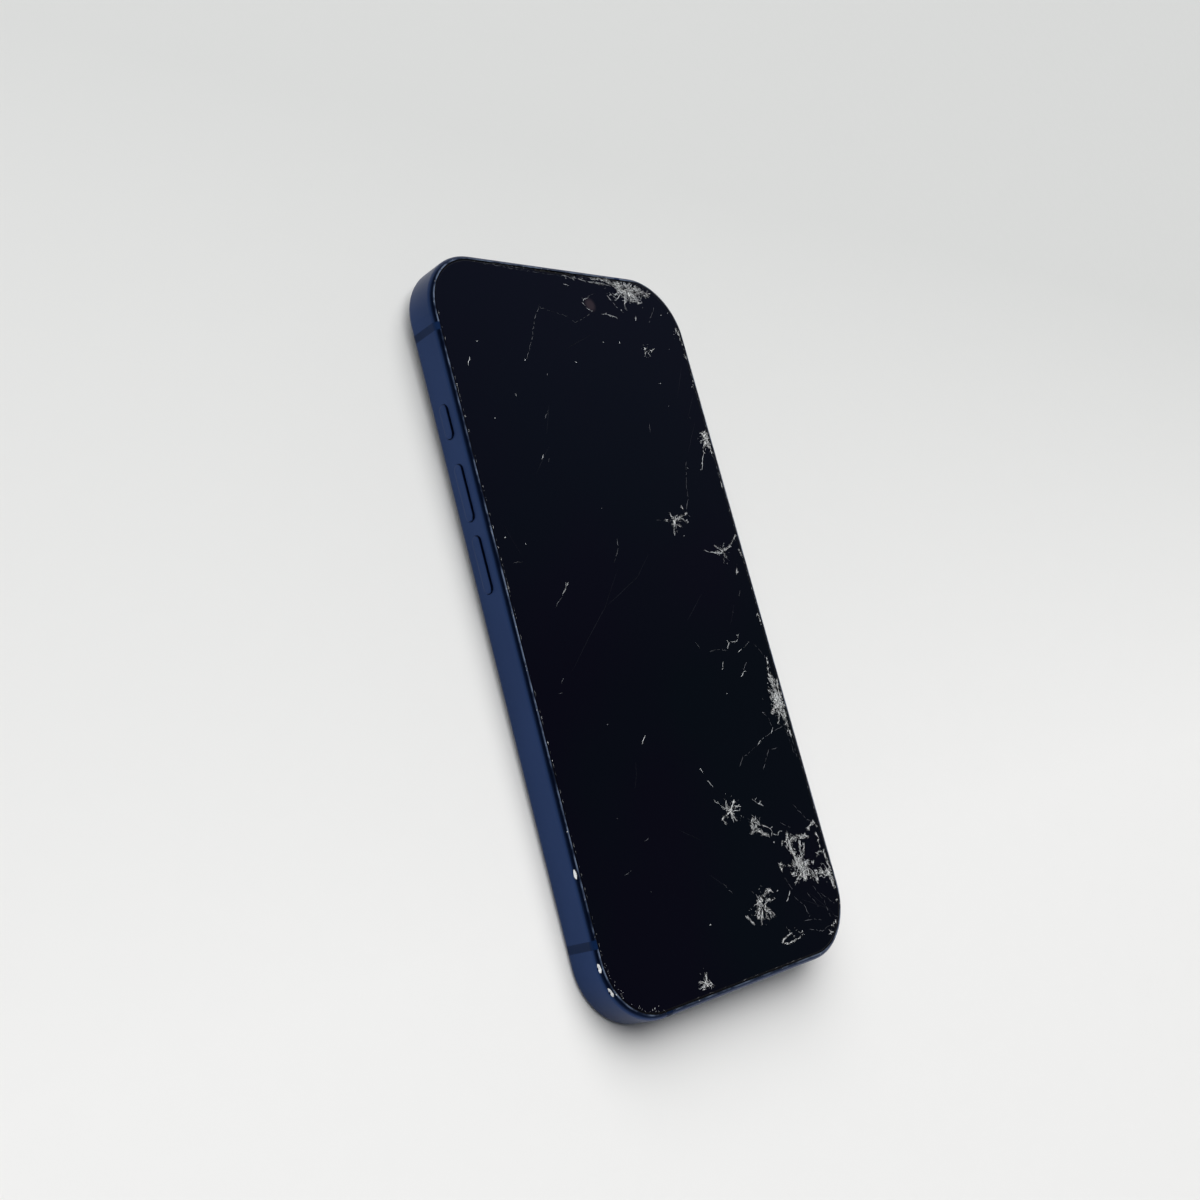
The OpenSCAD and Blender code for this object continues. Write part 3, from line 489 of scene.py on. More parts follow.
lens_glass = Finish("lens_glass", 0.06, 0.0, Specular_IOR_Level=0.6, Coat_Weight=0.5,
                    Coat_Roughness=0.03)
covers = ("lens_cover_upper", "lens_cover_middle", "lens_cover_lower")
cover_radius = 5.25  # in millimetres, as `nearest` measures
share_out = lens_glass.math("DIVIDE", nearest(lens_glass, covers), cover_radius)
rings = lens_glass.node("ShaderNodeValToRGB")
lens_glass.feed(rings.inputs[0], share_out)
coating, barrel, gap = (0.006, 0.005, 0.020), (0.022, 0.023, 0.027), (0.0015, 0.0015, 0.002)
stops = [
    (0.0, coating), (0.2, tinted(coating, 0.6)), (0.3, gap), (0.41, gap), (0.43, barrel), (0.46, gap),
    (0.63, gap), (0.65, barrel), (0.69, gap), (0.88, tinted(barrel, 0.5)), (0.92, gap),
]
rings.color_ramp.elements.remove(rings.color_ramp.elements[1])
for number, (place, color) in enumerate(stops):
    stop = rings.color_ramp.elements.new(place) if number else rings.color_ramp.elements[0]
    stop.color = (*color, 1)
lens_glass.color(rings.outputs[0])
lens_glass.roughness(lens_glass.between(lens_glass.noise(3 * mm, 4.0), 0.04, 0.14, 0.45, 0.7))
lens_glass.bump(lens_glass.noise(2 * mm), 0.0005 * mm)
print("lens rings have", len(stops), "stops")

# %% Flash lens
flash_lens = Finish("flash_lens", 0.2, 0.0)
sine_turn = 22  # radians in a millimetre, so a groove every 0.29 mm
turned_by = flash_lens.math("MULTIPLY", nearest(flash_lens, ["flash_lens"]), sine_turn)
grooves = flash_lens.math("SINE", turned_by)
groove_tops = flash_lens.between(grooves, 0, 1, -1, 1)
flash_lens.color(flash_lens.mix(groove_tops, (0.66, 0.56, 0.28), (0.86, 0.80, 0.58)))
flash_lens.roughness(flash_lens.between(flash_lens.noise(0.4 * mm), 0.15, 0.3))
flash_lens.bump(grooves, 0.02 * mm)
print("finishes", len(bpy.data.materials))

# %% [markdown]
# ## The black glass
#
# The outside of a shattered screen is still polished: a thin gloss over a display that is off,
# nearly black with a breath of blue, green and violet from its coatings. Wide, faint noise gives
# the tint, and a stretched noise in the roughness gives the smudges that fingers leave. Towards the
# top end the black is painted a lighter blue, as a painted sheen. The front camera looks out
# through a small clear window, which is seen as a dim disc.

# %% Polished black glass
cover_glass = Finish("cover_glass", 0.06, 0.0, Specular_IOR_Level=0.32)
wide = cover_glass.between(cover_glass.noise(38 * mm, 1.0), 0, 1, 0.38, 0.62)
tint = cover_glass.mix(wide, (0.0013, 0.0012, 0.0048), (0.0008, 0.0020, 0.0046))
along = cover_glass.node("ShaderNodeSeparateXYZ")
cover_glass.feed(along.inputs[0], cover_glass.place)
# painted sheen: from the middle up to the top end, the glass is mixed towards a lighter blue
sheen_towards_top = cover_glass.between(along.outputs["Y"], 0, 0.85, -15 * mm, 80 * mm)
black = cover_glass.mix(sheen_towards_top, tint, (0.0036, 0.0046, 0.0108))
camera_low, camera_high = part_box("front_camera")
window = ((camera_low.x + camera_high.x) / 2 + 1 * mm, (camera_low.y + camera_high.y) / 2, front)
window_radius = 1.9 * mm
seen_lens = cover_glass.between(from_middle(cover_glass, window, 0, [window_radius] * 3), 0.8, 0, 0.45, 1)
cover_glass.color(cover_glass.mix(seen_lens, black, (0.036, 0.027, 0.034)))
smudge = cover_glass.between(cover_glass.noise(9 * mm, 5.0, (1, 3, 1)), 0.045, 0.16, 0.45, 0.8)
cover_glass.roughness(smudge)
cover_glass.bump(cover_glass.noise(0.9 * mm, 3.0), 0.0004 * mm)
print("black glass is", len(cover_glass.tree.nodes), "nodes")

# %% [markdown]
# ## Broken glass
#
# Fracture surfaces are matt and pale, because broken glass scatters light as snow does. They are
# crazed, so a cell pattern breaks them into bright and dark grains. A hairline crack is so narrow
# that it only looks grey, and a scratch is hardly lighter than the glass. Slivers of crushed glass
# catch the light each by itself, so they come as three copies of one finish, painted black, grey
# and white: painted shade for the dark gaps between slivers, and painted light for the lit ones.

# %% Crazed fractures, hairlines and scratches
fracture = Finish("fracture", 0.5, 0.0)
grains = fracture.node("ShaderNodeTexVoronoi", feature="DISTANCE_TO_EDGE")
fracture.feed(grains.inputs["Vector"], fracture.place)
grains.inputs["Scale"].default_value = 1 / (0.45 * mm)
crazed = fracture.between(grains.outputs["Distance"], 1, 0, 0.05, 0.22)
powder = fracture.between(fracture.noise(1.3 * mm, 2.0), 0.1, 1, 0.38, 0.6)
broken = fracture.math("MAXIMUM", crazed, powder)
fracture.color(fracture.mix(broken, (0.05, 0.055, 0.065), (0.78, 0.80, 0.81)))
fracture.roughness(fracture.between(grains.outputs["Distance"], 0.6, 0.35, 0, 0.3))
fracture.bump(grains.outputs["Distance"], 0.03 * mm)

hairline = plain_finish("hairline", (0.13, 0.135, 0.15), 0.45, patch=1.6 * mm, vary=0.8,
                        Specular_IOR_Level=0.3)
scratch = plain_finish("scratch", (0.010, 0.011, 0.016), 0.5, patch=3 * mm, vary=0.5,
                       Specular_IOR_Level=0.12)
print("crack finishes are ready")

# %% Slivers of crushed glass
crushed = []
# painted shade and painted light: the same finish as a black, a grey and a white copy
for shade in (0.02, 0.36, 1.0):
    sliver = Finish(f"crushed_glass_{shade}", 0.35, 0.0, Specular_IOR_Level=0.9 * shade)
    snow = sliver.between(sliver.noise(0.7 * mm, 3.0), 0, 1, 0.36, 0.60)
    sliver.color(sliver.mix(snow, tinted((0.70, 0.72, 0.73), shade), tinted((0.97, 0.98, 0.97), shade)))
    sliver.roughness(sliver.between(sliver.noise(0.2 * mm), 0.2, 0.5))
    sliver.bump(sliver.noise(0.1 * mm), 0.01 * mm)
    crushed.append(sliver)
print(len(crushed), "shades of crushed glass")

# %% [markdown]
# ## The floor's paper
#
# The phone lies on a wide sheet of pale paper, as in a studio. Such a sheet looks greyer towards its
# far end, where it curves up out of the light. Here it is flat, so its colour does that instead, by
# the distance along the phone.

# %% Paper for the floor
paper = plain_finish("floor_paper", (0.84, 0.84, 0.825), 0.7, patch=900 * mm, grain=4 * mm, vary=0.012,
                     depth=0.01 * mm)
far = paper.node("ShaderNodeSeparateXYZ")
paper.feed(far.inputs[0], paper.place)
paper.color(paper.mix(paper.between(far.outputs["Y"], 0, 1, -60 * mm, 120 * mm),
                      (0.87, 0.865, 0.85), (0.70, 0.705, 0.69)))
floor.data.materials.append(paper.material)
print("finishes", len(bpy.data.materials))

# %% [markdown]
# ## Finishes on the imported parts
#
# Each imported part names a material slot, and each slot has its finish here. Clearing the part's
# own list first takes away the plain colour that it was loaded with.

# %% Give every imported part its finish
finishes = {
    "band_metal": band_metal, "button_metal": button_metal, "rim_metal": rim_metal,
    "break_plastic": break_plastic, "cover_glass": cover_glass, "display": display,
    "black_plastic": black_plastic, "sealant": sealant, "steel_sheet": steel_sheet,
    "fine_mesh": fine_mesh, "ribbon": ribbon, "back_glass": back_glass, "lens_glass": lens_glass,
    "flash_lens": flash_lens, "flash_chip": flash_chip, "copper": copper,
    "graphite_sheet": graphite_sheet, "magnet": magnet, "battery_wrap": battery_wrap,
    "circuit_board": circuit_board, "screw_metal": screw_metal,
}
for part in frame["record"]["subparts"]:
    data = nodes[part["node"]].data
    data.materials.clear()
    data.materials.append(finishes[part["material_slot"]].material)

# %% [markdown]
# ## Where the glass broke
#
# A screen breaks from a few hard hits. Around each hit the glass is crushed to powder and slivers,
# cracks run outwards from it as a star, and long cracks wander on between the stars. The lists below
# are this phone's damage, in millimetres from the middle of the screen: X to the right and Y up.
# Everything finer is grown from them with a seeded random generator, so it is the same every time.

# %% Hits: middle, reach, number of cracks, and streaks of slivers (from, to, width, number)
chance = random.Random(7)
hits = [
    ((21.6, 76.6), 5.0, 16, [
        ((16, 78.3), (21, 76.8), 0.45, 90), ((19, 77.2), (23, 75.6), 0.75, 250),
        ((22, 76.6), (27, 77.6), 0.8, 150), ((23, 76.2), (30, 76), 0.75, 130),
        ((21.4, 76.2), (20.7, 73.2), 0.3, 36), ((22.4, 75.8), (23.6, 73.4), 0.35, 44),
        ((23.4, 76), (25.3, 73.2), 0.35, 44), ((25, 77), (28.6, 75), 0.4, 50),
        ((11, 78.3), (19, 77.9), 0.12, 60), ((10, 77.3), (17, 77.1), 0.1, 34),
    ]),
    ((35.8, 39.8), 2.6, 9, [
        ((36, 41.6), (35.4, 38), 0.5, 110), ((35.6, 39.4), (33.2, 36), 0.3, 46),
        ((35.8, 38.6), (36.6, 35.2), 0.25, 36), ((34.6, 41.2), (36, 39.8), 0.3, 36),
    ]),
    ((35.2, -24), 4.2, 12, [
        ((34.6, -17.4), (35.3, -23.6), 0.45, 190), ((35.2, -13.6), (34.2, -17.6), 0.15, 30),
        ((34.6, -22), (35.8, -27.4), 0.9, 420), ((35, -24), (31.6, -26.4), 0.45, 110),
        ((35.6, -27), (36, -32), 0.3, 80), ((32.6, -20.6), (35, -23.4), 0.35, 80),
        ((36.4, -19), (35.6, -24), 0.35, 100), ((34.6, -26), (32.6, -29), 0.2, 40),
    ]),
    ((9.1, -45), 3.0, 7, [
        ((9.1, -45), (7.6, -43.4), 0.12, 16), ((9.1, -45), (8.4, -42.7), 0.12, 16),
        ((9.1, -45), (11.3, -43.1), 0.16, 34), ((10.4, -44.2), (12.8, -44.6), 0.1, 12),
        ((9.1, -45), (10.3, -47.5), 0.16, 30), ((9.1, -45), (5.8, -46.3), 0.14, 28),
        ((6, -46.2), (6.7, -47.5), 0.12, 10), ((8.6, -44.4), (9.6, -45.8), 0.34, 50),
    ]),
    ((16, -48.8), 1.8, 5, [
        ((14.2, -49.7), (15.6, -47.2), 0.3, 46), ((15.4, -47.6), (17.2, -49.4), 0.28, 46),
        ((14.6, -49.6), (17.2, -49.4), 0.22, 34), ((17.4, -49.4), (19.4, -50.2), 0.14, 20),
        ((13.5, -50.6), (15.8, -50.2), 0.14, 20), ((16.2, -50.4), (18.6, -52), 0.32, 56),
        ((18.6, -51.4), (19.4, -52.6), 0.15, 14),
    ]),
    ((26.8, -60), 3.2, 10, [
        ((22.4, -54.4), (24.8, -54), 0.2, 30), ((25.2, -52.8), (25, -55), 0.25, 36),
        ((24.9, -54.4), (26.2, -59.6), 0.65, 250), ((26, -54), (31.6, -54.2), 0.42, 150),
        ((31.4, -54.6), (32.8, -54.8), 0.2, 16), ((30, -56), (27.8, -58.6), 0.25, 46),
        ((28.8, -55), (28, -57.6), 0.25, 36), ((26.2, -58.6), (27.4, -63.2), 0.7, 300),
        ((27.6, -60), (31.6, -60.2), 0.3, 56), ((28, -61), (31.4, -64.2), 0.65, 150),
        ((31, -62.4), (33.8, -63), 0.3, 50), ((26, -62), (23.4, -63.4), 0.15, 30),
        ((22.8, -60.9), (24.6, -61.8), 0.2, 26), ((22.5, -59.3), (25.4, -59.6), 0.12, 22),
        ((19.9, -58.4), (22, -59.2), 0.2, 26), ((20, -58.6), (20.2, -59.8), 0.15, 14),
    ]),
    ((36, -63.6), 2.6, 7, [
        ((32.6, -62.4), (35.6, -63.6), 0.42, 90), ((35.6, -62.6), (36.4, -67), 0.45, 130),
        ((36, -58.6), (36.6, -63), 0.25, 50), ((33.2, -58.7), (35.6, -58.4), 0.15, 24),
        ((35.1, -54.4), (35.2, -57.4), 0.16, 26), ((32.8, -53), (35.1, -51.7), 0.22, 40),
        ((35.1, -51.7), (36.2, -53.2), 0.22, 24), ((35.2, -69.6), (36.2, -69.4), 0.15, 14),
    ]),
    ((10.9, -65.8), 3.4, 7, [
        ((9.8, -65), (14.3, -62.9), 0.42, 85), ((13, -65), (15.5, -65.1), 0.22, 40),
        ((14, -62.9), (15.2, -63.5), 0.22, 24), ((10.8, -64.8), (8.6, -67.8), 0.6, 105),
        ((11.4, -65.8), (14, -68.2), 0.22, 46), ((11.2, -66.8), (12, -69), 0.2, 28),
        ((10.2, -67), (9.1, -69.7), 0.22, 32), ((5.4, -66.8), (7.2, -68.9), 0.18, 40),
    ]),
    ((-11.6, -76.4), 2.0, 6, [
        ((-12.6, -76.6), (-10, -76.8), 0.35, 70), ((-11.6, -76.6), (-13.6, -75.6), 0.22, 26),
        ((-11.4, -76.4), (-11, -74.8), 0.2, 18),
    ]),
    ((17, 20), 2.2, 5, [
        ((16.6, 19.8), (21.6, 21.6), 0.16, 60), ((16.6, 19.8), (15.5, 16.5), 0.15, 34),
        ((16.6, 19.8), (16, 21.4), 0.15, 20), ((18.4, 20.4), (21.2, 19.6), 0.12, 20),
        ((16.6, 19.6), (18.3, 18.4), 0.12, 16), ((14, 20.1), (16.6, 19.8), 0.1, 16),
        ((21, 21.8), (20.4, 23.4), 0.12, 10),
    ]),
    ((30.4, 12.2), 2.2, 4, [
        ((30.4, 12.2), (33.2, 13.3), 0.14, 30), ((33.2, 13.3), (36.5, 15.9), 0.14, 40),
        ((30.4, 12.2), (28.1, 13.6), 0.14, 22), ((30.4, 12.2), (27.4, 11.9), 0.12, 18),
        ((30.6, 12), (31.2, 10.4), 0.12, 14),
    ]),
    ((17.6, -73.6), 1.6, 0, [
        ((14, -74.1), (16.4, -73.2), 0.1, 22), ((16.4, -73.2), (18.2, -72.8), 0.08, 12),
        ((14, -74.1), (15.8, -74.9), 0.1, 14), ((15.8, -74.8), (19.9, -74.4), 0.12, 34),
        ((19.9, -74.4), (21.8, -74), 0.08, 12), ((21.4, -73.6), (20.2, -73.2), 0.08, 8),
        ((31.6, -74.4), (34, -73.6), 0.2, 26), ((30.3, -75.7), (31.6, -75.8), 0.2, 18),
    ]),
    ((23.4, 61.4), 1.4, 2, [
        ((22.7, 60.7), (23.2, 62.8), 0.12, 16), ((24.8, 61.3), (25.9, 61.8), 0.12, 14),
    ]),
    ((36, 66), 1.2, 0, [
        ((35.9, 68), (36.5, 66.2), 0.18, 26), ((36.5, 66.2), (36.6, 63.6), 0.15, 24),
        ((36.6, 61.4), (36.7, 60), 0.12, 12), ((36.5, 53.6), (36.6, 52), 0.12, 10),
        ((36.6, 29), (36.7, 27), 0.12, 14), ((36.4, 12.4), (36.6, 10.8), 0.12, 12),
        ((33, 6.6), (33.6, 8), 0.1, 8), ((36.5, -3), (36.6, -6), 0.1, 14),
    ]),
]
slivers_in_all = sum(streak[3] for hit in hits for streak in hit[3])
print(len(hits), "hits with", slivers_in_all, "slivers")

# %% Long cracks: width, and the corners they pass
fine, hair = 0.11, 0.085
cracks = [
    (hair, [(-15.8, 56.8), (-13, 61), (-10.5, 66), (-8, 69.5), (-5.5, 69)]),
    (hair, [(-5.5, 69), (0, 68), (2.5, 66.6)]),
    (hair, [(2, 66.6), (3.3, 67.2), (5.9, 68.4), (8.2, 69.5)]),
    (fine, [(11.5, 69.5), (13, 69.7), (14.6, 69.4), (16.4, 69.1)]),
    (fine, [(19, 75), (16.4, 74.8), (15.1, 74.4), (16, 73.1), (17.4, 71.6)]),
    (fine, [(8.2, 73.1), (6.9, 72.7), (6.3, 71.7), (7.4, 70.4), (8.8, 70)]),
    (hair, [(8.2, 73.1), (9.4, 74), (11.3, 74.4)]),
    (hair, [(-22, 78.4), (-14, 78.1), (-4, 77.9), (4, 78.0), (10, 78.2)]),
    (fine, [(2, 78.1), (10, 77.4), (16.5, 77.2)]),
    (hair, [(30.3, 72.8), (27, 68.7)]),
    (hair, [(21.8, 22.5), (23.4, 25), (24.3, 28.8)]),
    (fine, [(16.6, 19.8), (18.8, 20.6), (21.8, 21.6)]),
    (fine, [(16.6, 19.8), (16, 18.2), (15.5, 16.5)]),
    (fine, [(19, 20.6), (21.4, 19.5)]),
    (hair, [(10.9, 20.2), (14, 20.1), (16.4, 19.9)]),
    (fine, [(30.4, 12.2), (33.2, 13.3), (36.4, 15.8)]),
    (hair, [(28, 13.8), (30.4, 12.2), (31.3, 10.2)]),
    (hair, [(24.3, 28.8), (25.4, 31.6), (26.3, 34)]),
    (fine, [(24.1, 12.7), (27.4, 11.9), (30.2, 11.8)]),
    (fine, [(33.2, 35.7), (32.4, 34.8), (31.2, 32.2)]),
    (hair, [(36.7, 35.1), (36.6, 30), (36.9, 27)]),
    (hair, [(16.5, -10.5), (20, -10.2), (22.3, -10.8)]),
    (fine, [(22.6, -10.4), (24, -9), (26.3, -9), (27.8, -7.3)]),
    (hair, [(12.6, -7.9), (13.7, -9.6)]),
    (fine, [(25.8, -11.5), (27.4, -10.8)]),
    (hair, [(28, -10.6), (31, -9.3)]),
    (fine, [(20, -13), (18.9, -14.8)]),
    (fine, [(24.6, -17), (25.8, -16)]),
    (hair, [(26, -15.6), (27.8, -14)]),
    (hair, [(36, -29), (35, -32), (35.5, -36)]),
    (hair, [(36, -29), (33, -29.8), (30, -30.2)]),
    (hair, [(30, -30.2), (27, -31.1), (24, -32.5), (17.7, -34.6), (16, -36.3)]),
    (hair, [(30, -34), (27, -34), (25.8, -35.4), (23.2, -38)]),
    (hair, [(28.6, -25.7), (30, -27.2), (30.4, -29), (30, -30.2)]),
    (fine, [(30.4, -29.4), (29.4, -30.6)]),
    (fine, [(25.4, -31.6), (24, -32.5)]),
    (fine, [(19.4, -50.2), (20.2, -50.7), (21, -52.1), (21.9, -52.5), (23.2, -51.7)]),
    (fine, [(17, -43.7), (20, -45.7)]),
    (fine, [(19, -66.4), (20, -65.6), (21, -64.5)]),
    (hair, [(23.1, -71.5), (25.8, -71.7), (28.7, -72.5)]),
    (hair, [(22, -66), (24.5, -68.5), (25, -71)]),
    (hair, [(26.5, -66), (29, -69.5)]),
    (hair, [(29, -65), (31.5, -69), (32, -72.5)]),
    (hair, [(31, -67), (34.5, -70)]),
    (hair, [(24, -73.5), (28, -74.8), (31, -74.2)]),
    (hair, [(33, -72), (35.6, -74)]),
    (hair, [(20.5, -61.5), (22, -64.4)]),
    (hair, [(24, -50), (27, -51.6)]),
    (hair, [(30, -47), (33, -50.6), (34.6, -51.4)]),
    (hair, [(32, -10), (34.6, -13), (35.6, -16)]),
    (hair, [(34.6, -30), (36.2, -33), (36, -37)]),
    (fine, [(3.5, -35), (3.9, -36)]),
    (fine, [(4.6, -37.6), (5.8, -39.2)]),
    (fine, [(5, -42), (5.8, -42.8)]),
    (hair, [(1, -59), (3, -61.5)]),
    (fine, [(-19, 34.2), (-18.2, 35.2)]),
    (hair, [(-17.2, 33.6), (-16.8, 34.4)]),
    (hair, [(-6, 11), (-3.4, 14.2), (-3, 16.4)]),
    (fine, [(-23, 5), (-20.5, 7.5)]),
    (hair, [(-25.6, 2.6), (-23, 5)]),
    (hair, [(-34, 12.3), (-31.5, 12.3)]),
    (hair, [(-29.6, -13), (-28.6, -12)]),
    (hair, [(-31, -14.8), (-29.8, -14.8)]),
    (fine, [(-11.8, -27.7), (-10.2, -26)]),
    (hair, [(-26, -52), (-24, -51.4)]),
    (hair, [(-18.4, -46.6), (-16.8, -46.2)]),
    (fine, [(-32.6, 54.4), (-31.6, 56.4)]),
    (hair, [(-14.8, 43.4), (-13.6, 45.2)]),
    (hair, [(16.8, 41), (17.4, 43)]),
    (fine, [(1.6, 75.9), (3.2, 75.7)]),
    (fine, [(22.4, 68.7), (22.9, 69.9)]),
    (hair, [(33, 7), (34, 9)]),
    (hair, [(31.6, 1.4), (32.6, 2.8)]),
]
scratches = [
    [(-26, -11), (-19, -4.5), (-12, 1.5), (-5, 10)],
    [(-12, 1.5), (0, 7.5), (6, 13)],
    [(-15.6, 40), (-12.8, 46.4)],
    [(-21.5, 31), (-16, 37)],
    [(12, -3), (19, 2.6)],
    [(26, -5), (29, -0.5)],
    [(28, 36.4), (33.4, 44)],
    [(31, 44.6), (35.4, 50.6)],
    [(29.6, 50), (34.2, 58)],
    [(2, -60), (-3, -56)],
    [(-8, -46), (-2, -49.4)],
    [(24, -67), (33, -71)],
    [(27, -66), (34, -72.5)],
    [(-34, 20), (-31.5, 14)],
    [(-3, 60), (6, 64)],
    [(-17, -36), (-15.6, -33.4), (-15, -31)],
]
flecks = [
    (-16.2, 56.6), (18.5, 71.1), (22.2, 20.9), (20.5, 23.4), (18.6, 16.3), (26.3, 32.5), (18.3, -20.2),
    (28.6, -25.7), (20.2, -53.7), (17, -63.7), (31.6, 62.3), (32, 71), (34.6, 71.8), (14.8, 62.8),
    (9.5, 62.5), (25, 53.3), (25.7, 47.7), (-1, 57), (-21.5, 48.5), (-28.5, 60), (-29, 43), (36, 53),
    (32, 45), (36.7, 28.2), (36.4, 11.6), (28, -2.2), (-34.5, 17.5), (-29.5, 16), (-20, -22.5),
    (-20, -56.4), (-6, -66), (-27, -77.5), (-10.8, 53.6), (3.4, -35), (-24, -41), (-5.2, 23.2),
]
# painted highlight lines along the glass's four edges: start, end and number of flakes
edge_highlight_lines = [
    ((-36.92, -66), (-36.92, 66), 120), ((-24, 78.52), (16, 78.52), 70), ((36.9, -66), (36.9, 66), 70),
    ((-20, -78.52), (20, -78.52), 30),
]
edge_specks = (65.5, 60, 50, 43, 40, 15.5, 13, 7, -19, -24, -27.5)
print(len(cracks), "cracks,", len(scratches), "scratches,", len(flecks), "flecks")

# %% [markdown]
# ## Growing the cracks
#
# A crack in glass never runs straight: it turns a little at every flaw. `jagged` puts a corner every
# 0.7 mm or so and pushes it aside, and `twigs` lets short side cracks leave it. A long crack opens
# and closes, so `broken_up` makes dashes of it. Around a hit, `star` sends cracks outwards at uneven
# angles and lengths. All of them are only lines so far, each with a width and a depth.

# %% Lines that turn, and their side cracks
cuts = []


def jagged(points, wander, step=0.7):
    path = [Vector(points[0])]
    for a, b in zip(points, points[1:]):
        a, b = Vector(a), Vector(b)
        side = (b - a).orthogonal().normalized()
        count = max(1, round((b - a).length / step))
        for k in range(1, count):
            path.append(a.lerp(b, k / count) + side * chance.uniform(-wander, wander))
        path.append(b)
    return path


def turned(vector, degrees):
    return Matrix.Rotation(math.radians(degrees), 2) @ vector


def add_cut(path, width, depth, kind="fracture"):
    cuts.append((path, width, depth, kind))


def twigs(path, share, reach, width):
    """Short side cracks that leave a path at some of its corners."""
    for a, b in zip(path, path[1:]):
        if chance.random() < share:
            heading = turned((b - a).normalized(), chance.choice((-1, 1)) * chance.uniform(25, 75))
            tip = b + heading * reach * chance.uniform(0.3, 1)
            add_cut(jagged([b, tip], wander=0.06, step=0.4), width * 0.7, width * 0.35)


# %% Dashes and stars
def broken_up(path, width, share):
    """Runs of a crack's corners, each with its own width. A larger share makes them shorter."""
    run = [path[0]]
    for point in path[1:]:
        run.append(point)
        if len(run) > 2 and chance.random() < share + 0.25 * (len(run) > 4):
            yield run, width * chance.uniform(0.6, 1.25)
            gap = min(0.9, chance.uniform(0.8, 2.2) * share)
            run = [point.lerp(run[-2], -gap)]
    if len(run) > 1:
        yield run, width


def star(middle, reach, count):
    """Cracks that run outwards from a hit."""
    for k in range(count):
        heading = turned(Vector((1, 0)), 360 * (k + chance.uniform(-0.4, 0.4)) / count)
        start = Vector(middle) + heading * reach * 0.12
        tip = Vector(middle) + heading * reach * chance.uniform(0.45, 1.15)
        path = jagged([start, tip], wander=0.10, step=0.5)
        width = chance.uniform(0.06, 0.14)
        add_cut(path, width, width * 0.5)
        twigs(path, 0.6, reach * 0.35, width)


# %% Draw all the lines
for middle, reach, count, _ in hits:
    star(middle, reach, count)
for width, points in cracks:
    path = jagged(points, wander=0.14)
    kind, share = ("hairline", 0.5) if width == hair else ("fracture", 0.3)
    for run, run_width in broken_up(path, width, share):
        add_cut(run, run_width, run_width * 0.5, kind)
    if kind == "fracture":
        twigs(path, share=0.25, reach=1.1, width=width)
for points in scratches:
    add_cut(jagged(points, wander=0.05, step=2.5), width=0.08, depth=0.02, kind="scratch")
for x, y in flecks:
    heading = turned(Vector((1, 0)), chance.uniform(0, 180)) * chance.uniform(0.12, 0.3)
    spot = Vector((x, y))
    kind = chance.choice(("fracture", "hairline"))
    add_cut([spot - heading, spot, spot + heading], width=0.13, depth=0.06, kind=kind)
print(len(cuts), "lines to cut")

# %% [markdown]
# ## Wedges for the cracks
#
# A crack in the model is a groove, and a groove is cut by a wedge: a bar bent along the crack's
# line, wider above the glass than below, with pointed ends. It starts as a flat strip of faces, one
# for each stretch of the line. The strip is extruded upwards, so that its faces point outwards, and
# then each corner moves to its place along the line.

# %% Bend a bar into a wedge
kinds = {"glass": cover_glass, "fracture": fracture, "hairline": hairline, "scratch": scratch}
at_bottom, at_top = 0.15, 1.15  # a wedge's width, as a share of its crack's
above_glass = 0.15  # how far it stands out of the glass, as a share of its depth


def thicken(shape, height):
    """Extrudes a flat shape upwards into a closed one."""
    grown = bmesh.ops.extrude_face_region(shape, geom=shape.faces[:])["geom"]
    top = [g for g in grown if isinstance(g, bmesh.types.BMVert)]
    bmesh.ops.translate(shape, vec=(0, 0, height), verts=top)


def wedge(path, width, depth, kind):
    """A closed wedge along a path, in millimetres like the path."""
    bar = bmesh.new()
    last = len(path) - 1
    bmesh.ops.create_grid(bar, x_segments=last, y_segments=1, size=1)
    thicken(bar, 1)
    widths = [width * math.sin(math.pi * (k + 0.3) / (last + 0.6)) ** 0.6 for k in range(last + 1)]
    for v in bar.verts:
        k = round((v.co.x + 1) / 2 * last)
        along = (path[min(k + 1, last)] - path[max(k - 1, 0)]).normalized()
        below = v.co.z < 0.5
        half = widths[k] / 2 * (at_bottom if below else at_top)
        place = path[k] + Vector((-along.y, along.x)) * half * (1 if v.co.y > 0 else -1)
        v.co = (place.x, place.y, -depth if below else depth * above_glass)
    for face in bar.faces:
        face.material_index = list(kinds).index(kind)
    return mesh_of("wedge", bar)


# %% [markdown]
# ## Sets of wedges
#
# A Boolean modifier can subtract many wedges at once, but wedges that touch each other would
# confuse it. So each goes into the first set in which it is near no other. Comparing the boxes
# around two lines is enough to know that they are apart.


# %% Sort the lines into sets
def spread(path, margin=0.3):
    """The box around a path, a little larger."""
    xs, ys = [p.x for p in path], [p.y for p in path]
    return min(xs) - margin, min(ys) - margin, max(xs) + margin, max(ys) + margin


def apart(a, b):
    return a[2] < b[0] or b[2] < a[0] or a[3] < b[1] or b[3] < a[1]


sets = []
for cut in cuts:
    box = spread(cut[0])
    home = next((s for s in sets if all(apart(box, other) for other, _ in s)), None)
    if home is None:
        home = []
        sets.append(home)
    home.append((box, cut))
print(len(sets), "sets, the largest with", len(sets[0]))

# %% [markdown]
# ## The plain slab of glass
#
# Cover glass is cut from a sheet, its corners are ground round, and its front edge is polished into
# a small curve. The slab is made in the same order: a flat face, a bevel on its four corners, an
# extrusion, and a bevel on its front edge. Then its faces are diced into cells of 2 mm, because one
# large face with hundreds of grooves in it would be slow to cut and would give long thin triangles.


